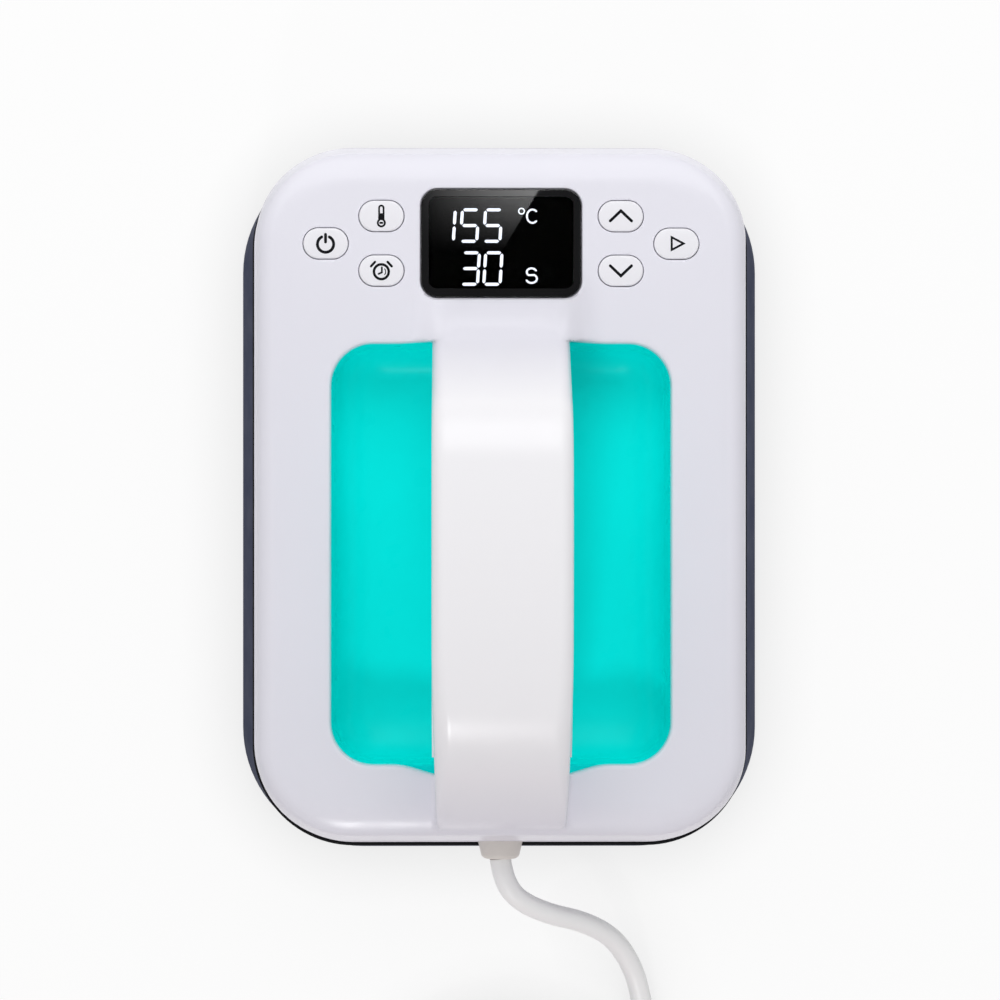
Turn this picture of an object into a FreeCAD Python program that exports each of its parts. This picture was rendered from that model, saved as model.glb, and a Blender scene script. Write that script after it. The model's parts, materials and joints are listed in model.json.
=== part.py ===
import FreeCAD
import Part
import math
import os

# Mini handheld heat press, in millimetres.
# X runs across the press, +Y points to the display end, +Z points up.
# The origin is on the table, under the middle of the skirt.

# Overall body
skirt_half_width = 74.0
skirt_half_length = 100.0
skirt_corner = 34.5
skirt_bottom = 4.0
skirt_widest = 6.5
skirt_edge = 1.5
seam_height = 22.5
skirt_wall = 2.5
lip_half_width = 70.2
lip_front = -97.2
lip_back = 99.6
lip_corner = 28.7

# Heating plate and what lies on it
plate_half_width = 64.0
plate_half_length = 90.0
plate_corner = 40.0
plate_thickness = 8.0
plate_edge = 1.2
plate_gap = 1.2
plate_wall = 2.0
plate_boss_radius = 5.5
plate_boss_height = 4.5
plate_screw_x = 52.0
plate_screw_rows = (-62.0, -8.5, 45.0)
pad_gap = 0.3
pad_thickness = 3.4
shield_thickness = 0.8
web_thickness = 2.5
hatch_half_width = 24.0
hatch_front = 18.0
hatch_back = 44.0
hatch_corner = 4.0
element_radius = 3.2
element_groove_gap = 0.1
element_half_width = 40.0
element_far_end = -66.0
element_bend = 24.0
terminal_x = 14.0
terminal_y = 30.0
terminal_top = 19.0

# Top shell
shell_half_width = 68.8
shell_front = -96.3
shell_back = 99.3
shell_corner = 27.3
shell_side_draft = 0.8
shell_end_draft = 1.5
shell_top = 50.0
shell_shoulder = 6.0
shell_wall = 2.5
seam_flange = 2.0
tongue_half_width = 67.3
tongue_front = -94.3
tongue_back = 95.0
tongue_corner = 25.8
tongue_wall = 1.2
tongue_depth = 3.5
gasket_thickness = 1.4
gasket_proud = 0.2
gasket_lip = 0.6
gasket_inset = 0.3
case_screw_x = 56.5
case_screw_y = 82.5
case_post_radius = 3.6
case_well_radius = 4.3

# Grip recess and its tray
recess_half_width = 47.1
recess_front = -73.3
recess_back = 43.3
recess_corner = 11.8
recess_lip = 2.2
recess_lip_wall = 2.0
tray_overlap = 0.3
tray_wall = 2.2
tray_floor = 26.0
tray_floor_half_width = 45.4
tray_floor_front = -62.0
tray_floor_back = 41.0
tray_floor_corner = 10.6
tray_floor_fillet = 8.0
tray_flange = 7.0
tray_flange_thickness = 2.2
tray_screw_inset = 4.4
tray_screw_rows = (-52.0, -15.0, 22.0)

# Handle arch, drawn in the YZ plane
handle_width = 38.0
handle_top = 88.0
handle_peak_y = -10.7
handle_thickness = 17.0
crest_radius = 300.0
crest_back_turn = 4.0
crest_front_turn = 8.0
neck_back_turn = 50.0
neck_back_radius = 24.0
neck_root_radius = 16.0
neck_front_turn = 72.0
neck_front_radius = 47.6
under_back_radius = 30.0
under_front_radius = 30.0
under_front_turn = 66.0
handle_top_edge = 5.0
handle_under_edge = 3.4
handle_wall = 2.5
cover_depth = 6.0
cover_back_turn = 24.0
cover_front_turn = 34.0
handle_screw_rows = (20.0, -10.7, -44.0)
handle_post_radius = 3.0

# Display and control board
lens_centre_y = 71.0
lens_width = 44.4
lens_length = 30.0
lens_corner = 4.7
lens_thickness = 2.2
lens_proud = 0.2
lens_gap = 0.2
window_width = 40.0
window_length = 26.0
window_corner = 2.4
window_ledge = 1.5
window_rim = 2.0
module_gap = 0.3
module_below_lens = 0.2
board_thickness = 1.6
control_board_top = 40.0
control_board_half_width = 52.0
control_board_front = 53.0
control_board_back = 91.0
board_corner = 3.0
control_screw_x = 41.0
control_screw_rows = (55.5, 87.5)
digit_width = 5.0
digit_height = 9.4
digit_stroke = 1.0
digit_slant = 0.5
digit_pitch = 6.1
digit_depth = 0.4
digits_centre_x = -4.6
digit_row_gap = 12.0

# Buttons and their switches
button_length = 12.6
button_width = 8.8
button_gap = 0.2
button_proud = 0.7
button_edge = 0.5
button_flange = 0.8
button_flange_thickness = 1.0
button_flange_gap = 0.2
button_stem_radius = 1.9
button_inner_x = 33.1
button_outer_x = 48.5
button_upper_y = 78.5
button_lower_y = 63.4
button_middle_y = 70.9
button_travel = 0.5
switch_size = 6.0
switch_height = 3.5
plunger_radius = 1.7
plunger_rise = 0.8
plunger_depth = 2.2
running_gap = 0.05

# Power board
power_board_lift = 4.0
power_board_half_width = 50.0
power_board_front = 51.0
power_board_back = 91.0
power_screws = ((-46.5, 54.5), (46.5, 54.5), (-36.0, 87.0), (36.0, 87.0))
terminal_block_x = 43.0
terminal_block_wide = 8.0
terminal_block_front = 59.5
terminal_pitch = 7.0
terminal_block_high = 9.5
terminal_side_wall = 3.5
wire_radius = 0.95

# Screws
screw_head_height = 2.4
small_head_height = 1.6
machine_screw_radius = 2.0
machine_head_radius = 3.5
case_screw_radius = 1.5
case_head_radius = 2.8
small_screw_radius = 1.1
small_head_radius = 2.1
screw_gap = 0.05

# Strain relief, clamp and mains cord
cord_radius = 3.0
exit_height = 31.0
relief_radius = 6.2
relief_tip_radius = 5.0
relief_length = 4.7
relief_flange = 1.4
relief_flange_radius = 7.4
relief_inner_end = -88.6
relief_inner_radius = 4.6
relief_gap = 0.1
clamp_front = -87.6
clamp_back = -82.6
clamp_half_width = 12.0
clamp_screw_x = 8.4
clamp_gap = 0.4
clamp_high = 4.6
sheath_end = -81.5

# The cord's free stretch, from the strain relief to the coil
cord_route = (
    (0.0, -101.0, 31.0),
    (0.8, -106.8, 30.8),
    (4.7, -112.9, 29.0),
    (13.4, -117.4, 25.2),
    (23.9, -120.3, 19.4),
    (32.8, -125.6, 12.8),
    (38.8, -135.2, 6.9),
    (41.5, -145.6, 3.6),
    (43.0, -157.0, 3.0),
    (44.2, -168.5, 3.0),
    (45.0, -180.0, 3.0),
)
coil_centre = (1.0, -197.0)
coil_outer_radius = 44.0
coil_pitch = 7.8
coil_layer_rise = 6.7
coil_half_turns_in = 5
coil_half_turns_out = 6
cord_end_run = 6.0

# The cord's last stretch, from the coil to the plug
tail_route = (
    (48.9, -211.0, 9.7),
    (46.5, -223.5, 6.2),
    (37.5, -238.0, 3.3),
    (23.0, -250.0, 4.6),
    (9.5, -254.5, 8.5),
    (0.0, -254.5, 8.5),
)

# Plug with three round pins
plug_face_width = 35.5
plug_thick = 17.0
plug_body_length = 30.0
plug_back_width = 22.0
plug_back_thick = 13.0
plug_face_length = 6.0
plug_corner = 7.0
plug_boot_length = 16.0
plug_boot_radius = 5.6
plug_boot_tip = 4.2
pin_radius = 2.0
pin_length = 19.0
pin_spacing = 19.0
earth_pin_offset = 3.0
pin_root = 8.0

# Heights that follow from the stack
pad_bottom = plate_thickness + pad_gap
pad_top = pad_bottom + pad_thickness
shield_bottom = plate_thickness + plate_boss_height
web_bottom = shield_bottom + shield_thickness
web_top = web_bottom + web_thickness
gasket_bottom = seam_height - gasket_thickness + gasket_proud
shell_bottom = seam_height + gasket_proud
skin_bottom = shell_top - shell_wall
lip_bottom = skin_bottom - recess_lip
tray_flange_bottom = lip_bottom - tray_flange_thickness
lens_bottom = shell_top + lens_proud - lens_thickness
ledge_bottom = lens_bottom - window_ledge
module_top = lens_bottom - module_below_lens
control_board_bottom = control_board_top - board_thickness
power_board_bottom = web_top + power_board_lift
power_board_top = power_board_bottom + board_thickness
switch_top = control_board_top + switch_height
plunger_top = switch_top + plunger_rise
button_top = shell_top + button_proud
button_flange_top = skin_bottom - button_flange_gap

UP = FreeCAD.Vector(0, 0, 1)
BACK = FreeCAD.Vector(0, 1, 0)
RIGHT = FreeCAD.Vector(1, 0, 0)


def vec(x, y, z=0.0):
    return FreeCAD.Vector(x, y, z)


# Outlines of the body

def outline(half_width, front, back, corner):
    """A rounded rectangle, symmetric about the YZ plane."""
    return (half_width, front, back, corner)


def grown(shape, by):
    half_width, front, back, corner = shape
    return (half_width + by, front - by, back + by, corner + by)


def between(low, high, share):
    return tuple(a + (b - a) * share for a, b in zip(low, high))


def rounded_wire(shape, z, centre_x=0.0):
    half_width, front, back, corner = shape
    left = centre_x - half_width
    right = centre_x + half_width
    slant = corner * math.sqrt(0.5)
    edges = []
    spots = (
        (right - corner, front + corner, -1, 1),
        (right - corner, back - corner, 1, 1),
        (left + corner, back - corner, 1, -1),
        (left + corner, front + corner, -1, -1),
    )
    arcs = []
    for x, y, down, side in spots:
        level = vec(x, y + down * corner, z)
        beside = vec(x + side * corner, y, z)
        middle = vec(x + side * slant, y + down * slant, z)
        order = (level, middle, beside) if down * side < 0 else (beside, middle, level)
        arcs.append(order)
    for index, (start, middle, end) in enumerate(arcs):
        edges.append(Part.Arc(start, middle, end).toShape())
        following = arcs[(index + 1) % len(arcs)][0]
        if end.distanceToPoint(following) > 1e-6:
            edges.append(Part.LineSegment(end, following).toShape())
    return Part.Wire(edges)


def slab(shape, low, high, centre_x=0.0):
    return Part.Face(rounded_wire(shape, low, centre_x)).extrude(UP * (high - low))


def tapered(low_shape, low, high_shape, high):
    wires = [rounded_wire(low_shape, low), rounded_wire(high_shape, high)]
    return Part.makeLoft(wires, True, True)


def post(x, y, low, high, radius):
    return Part.makeCylinder(radius, high - low, vec(x, y, low), UP)


def block(x_low, x_high, y_low, y_high, z_low, z_high):
    return Part.makeBox(x_high - x_low, y_high - y_low, z_high - z_low, vec(x_low, y_low, z_low))


def rod(start, end, radius):
    along = end - start
    return Part.makeCylinder(radius, along.Length, start, along)


def joined(first, *others):
    result = first
    for other in others:
        result = result.fuse(other)
    return result.removeSplitter()


def without(first, *others):
    result = first
    for other in others:
        result = result.cut(other)
    return result


def both_sides(x, rows):
    return [(side * x, y) for y in rows for side in (-1, 1)]


def level_edges(solid, z):
    """The edges of a solid that lie flat at height z."""
    found = []
    for edge in solid.Edges:
        box = edge.BoundBox
        if abs(box.ZMin - z) < 1e-4 and abs(box.ZMax - z) < 1e-4:
            found.append(edge)
    return found


def filleted_top(solid, z, radius):
    return solid.makeFillet(radius, level_edges(solid, z))


def pan_screw(x, y, seat, points_up, length, radius, head_radius, head_height):
    """A pan head screw with a cross slot, seated at height seat."""
    direction = 1 if points_up else -1
    shank = Part.makeCylinder(radius, length, vec(x, y, seat), UP * direction)
    head = Part.makeCylinder(head_radius, head_height, vec(x, y, seat), UP * -direction)
    far = seat - direction * head_height
    rims = level_edges(head, far)
    head = head.makeFillet(head_height * 0.35, rims)
    slot_deep = head_height * 0.5
    half_wide = head_radius * 0.14
    half_long = head_radius * 0.55
    low = min(far, far + direction * slot_deep)
    cross = [
        block(x - half_long, x + half_long, y - half_wide, y + half_wide, low, low + slot_deep),
        block(x - half_wide, x + half_wide, y - half_long, y + half_long, low, low + slot_deep),
    ]
    return without(joined(shank, head), *cross)


def small_screw(x, y, seat, points_up, length):
    return pan_screw(x, y, seat, points_up, length, small_screw_radius, small_head_radius, small_head_height)


# Paths made of straight runs and tangent arcs

def arc_between(start, tangent, end):
    """The arc that leaves start along tangent and reaches end."""
    chord = end - start
    along = vec(*chord).normalize()
    cosine = max(-1.0, min(1.0, tangent.dot(along)))
    half_turn = math.acos(cosine)
    side = tangent - along * cosine
    side.normalize()
    middle = start + chord * 0.5 + side * (chord.Length / 2 * math.tan(half_turn / 2))
    return Part.Arc(start, middle, end).toShape()


def rounded_path(points, name=None, radius=None):
    """Straight runs through the points, with the largest tangent arc at each corner."""
    spots = [vec(*p) for p in points]
    edges = []
    radii = []
    last = spots[0]
    for before, corner, after in zip(spots, spots[1:], spots[2:]):
        into = corner - before
        out = after - corner
        shorter = min(into.Length, out.Length)
        into.normalize()
        out.normalize()
        turn = math.acos(max(-1.0, min(1.0, into.dot(out))))
        reach = 0.45 * shorter
        if radius is not None:
            reach = min(reach, radius * math.tan(turn / 2))
        start = corner - into * reach
        end = corner + out * reach
        edges.append(Part.LineSegment(last, start).toShape())
        edges.append(arc_between(start, into, end))
        radii.append(reach / math.tan(turn / 2))
        last = end
    edges.append(Part.LineSegment(last, spots[-1]).toShape())
    if name:
        print(name, "radii", [round(r, 1) for r in radii], "least", round(min(radii), 1))
    return Part.Wire(edges)


def tube(path, radius):
    first = path.OrderedEdges[0]
    start = first.valueAt(first.FirstParameter)
    tangent = first.tangentAt(first.FirstParameter)
    if start.distanceToPoint(path.OrderedVertexes[0].Point) > 1e-6:
        start = first.valueAt(first.LastParameter)
        tangent = first.tangentAt(first.LastParameter) * -1
    ring = Part.Wire(Part.makeCircle(radius, start, tangent))
    return path.makePipeShell([ring], True, False)


def print_tube(name, solid, path, radius):
    expected = math.pi * radius * radius * path.Length
    print(name, "length", round(path.Length, 1), "volume share", round(solid.Volume / expected, 4))


# Skirt and heating plate

def skirt_outline(z):
    low = outline(skirt_half_width, -skirt_half_length, skirt_half_length, skirt_corner)
    high = outline(lip_half_width, lip_front, lip_back, lip_corner)
    return between(low, high, (z - skirt_widest) / (seam_height - skirt_widest))


def plate_outline():
    return outline(plate_half_width, -plate_half_length, plate_half_length, plate_corner)


def hatch_outline(by=0.0):
    return grown(outline(hatch_half_width, hatch_front, hatch_back, hatch_corner), by)


def plate_screw_spots():
    return both_sides(plate_screw_x, plate_screw_rows)


def case_screw_spots():
    return both_sides(case_screw_x, (-case_screw_y, case_screw_y))


def skirt():
    widest = skirt_outline(skirt_widest)
    lip = skirt_outline(seam_height)
    edge = tapered(grown(widest, -skirt_edge), skirt_bottom, widest, skirt_widest)
    body = joined(edge, tapered(widest, skirt_widest, lip, seam_height))
    floor_top = skirt_bottom + skirt_wall
    inside_low = grown(skirt_outline(floor_top), -skirt_wall)
    inside_high = grown(lip, -skirt_wall)
    hollow = tapered(inside_low, floor_top, inside_high, seam_height)
    pocket = grown(plate_outline(), plate_gap)
    core = slab(grown(pocket, plate_wall), skirt_bottom, web_top)
    result = joined(without(body, hollow), core.common(body))
    for x, y in case_screw_spots():
        result = result.fuse(post(x, y, skirt_bottom, web_top, case_well_radius))
    for x, y in power_screws:
        result = result.fuse(post(x, y, web_top, power_board_bottom, small_screw_radius + 1.9))
    result = result.fuse(clamp_seat())
    result = result.cut(slab(pocket, skirt_bottom, web_bottom))
    result = result.cut(slab(hatch_outline(), web_bottom, web_top))
    head_room = case_head_radius + 0.4
    for x, y in case_screw_spots():
        result = result.cut(post(x, y, skirt_bottom, web_bottom, head_room))
        result = result.cut(post(x, y, web_bottom, web_top, case_screw_radius + 0.2))
    for x, y in plate_screw_spots():
        result = result.cut(post(x, y, web_bottom, web_top, machine_screw_radius + 0.2))
    for x, y in power_screws:
        result = result.cut(post(x, y, web_top, power_board_bottom, small_screw_radius + screw_gap))
    clamp_middle = (clamp_front + clamp_back) / 2
    for side in (-1, 1):
        x = side * clamp_screw_x
        result = result.cut(post(x, clamp_middle, web_top, exit_height, small_screw_radius + screw_gap))
    rebate = gasket_ring(gasket_bottom, seam_height, skirt_wall + gasket_inset)
    return result.cut(rebate).removeSplitter()


def clamp_seat():
    """The ledge on the web that the cord's sheath lies on."""
    top = exit_height - clamp_gap / 2
    ledge = block(-clamp_half_width, clamp_half_width, clamp_front, clamp_back, web_top, top)
    groove = rod(vec(0, clamp_front, exit_height), vec(0, clamp_back, exit_height), cord_radius + screw_gap)
    return ledge.cut(groove)


def gasket_ring(low, high, inner):
    lip = skirt_outline(seam_height)
    ring = slab(grown(lip, -gasket_lip), low, high)
    return ring.cut(slab(grown(lip, -inner), low, high))


def gasket():
    return gasket_ring(gasket_bottom, shell_bottom, skirt_wall - gasket_inset)


def element_path():
    """The tubular element lies as a U in the plate, and its ends rise through the hatch."""
    low = plate_thickness - 0.4
    inner = terminal_x
    points = []
    points.append((inner, terminal_y, terminal_top - 4.0))
    points.append((inner, terminal_y, low))
    points.append((inner, 60.0, low))
    points.append((element_half_width, 60.0, low))
    points.append((element_half_width, element_far_end, low))
    mirrored = [(-x, y, z) for x, y, z in reversed(points)]
    return rounded_path(points + mirrored, radius=element_bend)


def heating_element():
    sheath = tube(element_path(), element_radius)
    for side in (-1, 1):
        stud = post(side * terminal_x, terminal_y, terminal_top - 4.0, terminal_top, 1.4)
        sheath = sheath.fuse(stud)
    return sheath.removeSplitter()


def heating_plate():
    plate = slab(plate_outline(), 0.0, plate_thickness)
    plate = plate.makeFillet(plate_edge, level_edges(plate, 0.0))
    for x, y in plate_screw_spots():
        plate = plate.fuse(post(x, y, plate_thickness, shield_bottom, plate_boss_radius))
    for x, y in plate_screw_spots():
        depth = plate_thickness - 4.0
        plate = plate.cut(post(x, y, depth, shield_bottom, machine_screw_radius + screw_gap))
    groove = tube(element_path(), element_radius + element_groove_gap)
    return plate.cut(groove).removeSplitter()


def sheet_over_plate(inset, low, high, boss_room):
    sheet = slab(grown(plate_outline(), -inset), low, high)
    sheet = sheet.cut(slab(hatch_outline(1.0), low, high))
    for x, y in plate_screw_spots():
        sheet = sheet.cut(post(x, y, low, high, boss_room))
    return sheet


def insulation_pad():
    pad = sheet_over_plate(3.0, pad_bottom, pad_top, plate_boss_radius + 0.5)
    return pad.cut(tube(element_path(), element_radius + 0.3))


def heat_shield():
    return sheet_over_plate(1.0, shield_bottom, web_bottom, machine_screw_radius + 0.2)


def plate_screws():
    length = web_top - plate_thickness + 2.0
    return [
        pan_screw(x, y, web_top, False, length, machine_screw_radius, machine_head_radius, screw_head_height)
        for x, y in plate_screw_spots()
    ]


def thermostat():
    """Bimetal cut-out: a disc body with two flat tabs, flanged to the plate."""
    top = plate_thickness + 7.0
    body = post(0.0, 25.5, plate_thickness, top, 6.0)
    flange = block(-8.0, 8.0, 22.0, 29.0, plate_thickness, plate_thickness + 1.0)
    tabs = [block(x - 0.4, x + 0.4, 23.0, 28.0, top, top + 5.0) for x in (-3.0, 3.0)]
    return joined(body, flange, *tabs)


def temperature_sensor():
    """A metal probe that lies on the plate under its clip."""
    height = plate_thickness + 2.0
    probe = rod(vec(-7.0, 38.0, height), vec(7.0, 38.0, height), 2.0)
    clip = block(-2.5, 2.5, 35.0, 41.0, plate_thickness, plate_thickness + 5.0)
    return joined(probe, clip)


# Top shell

def shell_outline():
    return outline(shell_half_width, shell_front, shell_back, shell_corner)


def shell_top_outline():
    half_width, front, back, corner = shell_outline()
    side = shell_side_draft
    end = shell_end_draft
    return outline(half_width - side, front + end, back - end, corner - side)


def recess_outline(by=0.0):
    return grown(outline(recess_half_width, recess_front, recess_back, recess_corner), by)


def button_spots():
    return {
        "power": (-button_outer_x, button_middle_y),
        "temperature": (-button_inner_x, button_upper_y),
        "timer": (-button_inner_x, button_lower_y),
        "up": (button_inner_x, button_upper_y),
        "down": (button_inner_x, button_lower_y),
        "start": (button_outer_x, button_middle_y),
    }


def oval_slab(x, y, length, width, low, high):
    shape = outline(length / 2, y - width / 2, y + width / 2, width / 2)
    return slab(shape, low, high, x)


def tray_screw_spots():
    x = recess_half_width + tray_screw_inset
    return both_sides(x, tray_screw_rows)


def window_slab(width, length, corner, low, high):
    shape = outline(width / 2, lens_centre_y - length / 2, lens_centre_y + length / 2, corner)
    return slab(shape, low, high)


def shell_body():
    low = shell_outline()
    high = shell_top_outline()
    outer = tapered(low, shell_bottom, high, shell_top)
    outer = filleted_top(outer, shell_top, shell_shoulder)
    inner = tapered(grown(low, -shell_wall), shell_bottom, grown(high, -shell_wall), skin_bottom)
    inner = filleted_top(inner, skin_bottom, shell_shoulder - shell_wall)
    body = outer.cut(inner)
    tongue = outline(tongue_half_width, tongue_front, tongue_back, tongue_corner)
    tongue_inside = grown(tongue, -tongue_wall)
    flange_top = shell_bottom + seam_flange
    flange = slab(low, shell_bottom, flange_top).common(outer)
    flange = flange.fuse(slab(tongue, shell_bottom - tongue_depth, shell_bottom))
    flange = flange.cut(slab(tongue_inside, shell_bottom - tongue_depth, flange_top))
    return joined(body, flange)


def top_shell():
    body = shell_body()
    body = body.fuse(slab(recess_outline(recess_lip_wall), lip_bottom, skin_bottom))
    for x, y in tray_screw_spots():
        body = body.fuse(post(x, y, lip_bottom, skin_bottom, small_screw_radius + 1.6))
    opening_width = lens_width + 2 * lens_gap
    opening_length = lens_length + 2 * lens_gap
    rim_width = opening_width + 2 * window_rim
    rim_length = opening_length + 2 * window_rim
    body = body.fuse(window_slab(rim_width, rim_length, lens_corner + window_rim, ledge_bottom, skin_bottom))
    for x, y in both_sides(control_screw_x, control_screw_rows):
        body = body.fuse(post(x, y, control_board_top, skin_bottom, small_screw_radius + 1.7))
    for x, y in case_screw_spots():
        body = body.fuse(post(x, y, web_top, skin_bottom, case_post_radius))
    body = body.fuse(handle_solid().cut(cover_band()))
    body = body.cut(slab(recess_outline(), lip_bottom, shell_top).cut(handle_solid()))
    body = body.cut(handle_cavity())
    for y in handle_screw_rows:
        post_top = handle_height_at(y) - 1.0
        post_low = under_height_at(y) + cover_depth
        boss = post(0.0, y, post_low, post_top, handle_post_radius)
        boss = boss.cut(post(0.0, y, post_low, post_low + 5.0, small_screw_radius + screw_gap))
        body = body.fuse(boss.cut(cover_band()))
    body = body.cut(window_slab(opening_width, opening_length, lens_corner, lens_bottom, shell_top))
    body = body.cut(window_slab(window_width, window_length, window_corner, ledge_bottom, lens_bottom))
    for x, y in button_spots().values():
        length = button_length + 2 * button_gap
        width = button_width + 2 * button_gap
        body = body.cut(oval_slab(x, y, length, width, skin_bottom, shell_top))
    for x, y in tray_screw_spots():
        body = body.cut(post(x, y, lip_bottom, shell_top - 1.2, small_screw_radius + screw_gap))
    for x, y in both_sides(control_screw_x, control_screw_rows):
        hole_top = control_board_top + 6.0
        body = body.cut(post(x, y, control_board_top, hole_top, small_screw_radius + screw_gap))
    for x, y in case_screw_spots():
        body = body.cut(post(x, y, web_top, web_top + 12.0, case_screw_radius + screw_gap))
    return body.cut(relief_hole()).removeSplitter()


def relief_hole():
    """The round hole in the front wall that the strain relief's neck passes through."""
    start = vec(0, shell_front - 2.0, exit_height)
    return rod(start, vec(0, relief_inner_end, exit_height), relief_inner_radius + relief_gap)


# Handle arch

def turned(spot, heading, radius, turn):
    """An arc in the YZ plane from spot, heading in degrees from +Y towards +Z; turn is signed."""
    sign = 1 if turn > 0 else -1
    facing = math.radians(heading)
    centre = vec(0, spot.y - sign * radius * math.sin(facing), spot.z + sign * radius * math.cos(facing))

    def at(share):
        angle = facing + math.radians(turn) * share
        return vec(0, centre.y + sign * radius * math.sin(angle), centre.z - sign * radius * math.cos(angle))

    edge = Part.Arc(at(0.0), at(0.5), at(1.0)).toShape()
    return edge, at(1.0), heading + turn


def ahead(spot, heading, length):
    facing = math.radians(heading)
    end = vec(0, spot.y + length * math.cos(facing), spot.z + length * math.sin(facing))
    return Part.LineSegment(spot, end).toShape(), end


def arch_run(start, heading, steps):
    """Arcs one after another from start; each step is a radius and a signed turn."""
    edges = []
    spot = start
    for radius, turn in steps:
        edge, spot, heading = turned(spot, heading, radius, turn)
        edges.append(edge)
    return edges, spot, heading


def upper_edges(inset=0.0):
    """The arch's upper line, and with an inset the line that far inside it."""
    crest = crest_radius - inset
    peak = vec(0, handle_peak_y, handle_top - inset)
    back_steps = [(crest, -crest_back_turn), (neck_back_radius - inset, -neck_back_turn)]
    back, spot, heading = arch_run(peak, 0.0, back_steps)
    slope = math.radians(-heading)
    root_radius = neck_root_radius + inset
    root_rise = root_radius * (1 - math.cos(slope))
    straight = (spot.z - (shell_top - inset) - root_rise) / math.sin(slope)
    line, spot = ahead(spot, heading, straight)
    root, root_spot, heading = turned(spot, heading, root_radius, -heading)
    front_steps = [(crest, crest_front_turn), (neck_front_radius - inset, neck_front_turn)]
    front, front_spot, heading = arch_run(peak, 180.0, front_steps)
    return [*reversed(front), *back, line, root], front_spot, root_spot


def under_edges(inset=0.0):
    """The arch's lower line, down to a little below the skin on both sides."""
    radius = crest_radius - handle_thickness + inset
    peak = vec(0, handle_peak_y, handle_top - handle_thickness + inset)
    back_steps = [(radius, -crest_back_turn), (under_back_radius + inset, -neck_back_turn)]
    back, spot, heading = arch_run(peak, 0.0, back_steps)
    floor = skin_bottom - 4.0
    line, back_spot = ahead(spot, heading, (spot.z - floor) / math.sin(math.radians(-heading)))
    front_steps = [(radius, crest_front_turn), (under_front_radius + inset, under_front_turn)]
    front, spot, heading = arch_run(peak, 180.0, front_steps)
    drop, front_spot = ahead(spot, heading, (spot.z - floor) / math.sin(math.radians(heading - 180.0)))
    return [drop, *reversed(front), *back, line], front_spot, back_spot


def handle_profile(inset=0.0):
    upper, upper_front, upper_back = upper_edges(inset)
    under, under_front, under_back = under_edges(inset)
    low_front = vec(0, upper_front.y, under_front.z)
    low_back = vec(0, upper_back.y, under_back.z)
    closing = [
        Part.LineSegment(upper_back, low_back).toShape(),
        Part.LineSegment(low_back, under_back).toShape(),
        Part.LineSegment(under_front, low_front).toShape(),
        Part.LineSegment(low_front, upper_front).toShape(),
    ]
    edges = Part.__sortEdges__([*upper, *under, *closing])
    return Part.Face(Part.Wire(edges))


def on_path(edge, path):
    middle = edge.valueAt((edge.FirstParameter + edge.LastParameter) / 2)
    flat = Part.Vertex(0, middle.y, middle.z)
    return abs(abs(middle.x) - handle_width / 2) < 1e-4 and flat.distToShape(path)[0] < 1e-3


def above_skin(solid):
    room = block(-60.0, 60.0, -110.0, 110.0, skin_bottom, handle_top + 10.0)
    return solid.common(room)


def handle_solid():
    half = handle_width / 2
    solid = handle_profile().extrude(RIGHT * handle_width)
    solid.translate(RIGHT * -half)
    upper = Part.Compound(upper_edges()[0])
    under = Part.Compound(under_edges()[0])
    solid = solid.makeFillet(handle_top_edge, [e for e in solid.Edges if on_path(e, upper)])
    solid = solid.makeFillet(handle_under_edge, [e for e in solid.Edges if on_path(e, under)])
    return above_skin(solid)


def handle_cavity():
    """The hollow inside the arch, open into the body at both roots."""
    solid = handle_profile(handle_wall).extrude(RIGHT * (handle_width - 2 * handle_wall))
    solid.translate(RIGHT * -(handle_width / 2 - handle_wall))
    return above_skin(solid)


def cover_band():
    """The stretch along the underside that the separate cover takes up."""
    radius = crest_radius - handle_thickness
    peak = vec(0, handle_peak_y, handle_top - handle_thickness)
    edges = []
    ends = []
    for grow in (0.0, cover_depth):
        top = vec(0, peak.y, peak.z + grow)
        back, back_end, heading = arch_run(
            top, 0.0, [(radius + grow, -crest_back_turn), (under_back_radius + grow, -cover_back_turn)]
        )
        front, front_end, heading = arch_run(
            top, 180.0, [(radius + grow, crest_front_turn), (under_front_radius + grow, cover_front_turn)]
        )
        edges += back + front
        ends.append((back_end, front_end))
    for low, high in zip(*ends):
        edges.append(Part.LineSegment(low, high).toShape())
    face = Part.Face(Part.Wire(Part.__sortEdges__(edges)))
    band = face.extrude(RIGHT * (handle_width + 2.0))
    band.translate(RIGHT * -(handle_width / 2 + 1.0))
    return band


def arch_height(y, top, radius):
    return top - radius + math.sqrt(radius * radius - (y - handle_peak_y) ** 2)


def handle_height_at(y):
    if y > handle_peak_y + crest_radius * math.sin(math.radians(crest_back_turn)):
        return handle_top - handle_thickness * 0.4
    return arch_height(y, handle_top, crest_radius)


def under_height_at(y):
    """Height of the underside on its crest, and on the neck arc behind it."""
    radius = crest_radius - handle_thickness
    top = handle_top - handle_thickness
    turn = math.radians(crest_back_turn)
    edge = handle_peak_y + radius * math.sin(turn)
    if y <= edge:
        return arch_height(y, top, radius)
    centre_y = edge - under_back_radius * math.sin(turn)
    centre_z = top - radius + (radius - under_back_radius) * math.cos(turn)
    return centre_z + math.sqrt(under_back_radius ** 2 - (y - centre_y) ** 2)


def handle_cover():
    cover = handle_solid().common(cover_band()).cut(handle_cavity())
    for y in handle_screw_rows:
        low = under_height_at(y)
        boss = post(0.0, y, low + 1.0, low + cover_depth, handle_post_radius).common(cover_band())
        cover = cover.fuse(boss)
        cover = cover.cut(post(0.0, y, low - 3.0, low + small_head_height + 0.4, small_head_radius + 0.2))
        cover = cover.cut(post(0.0, y, low, low + cover_depth + 2.0, small_screw_radius + 0.1))
    return cover.removeSplitter()


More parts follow.
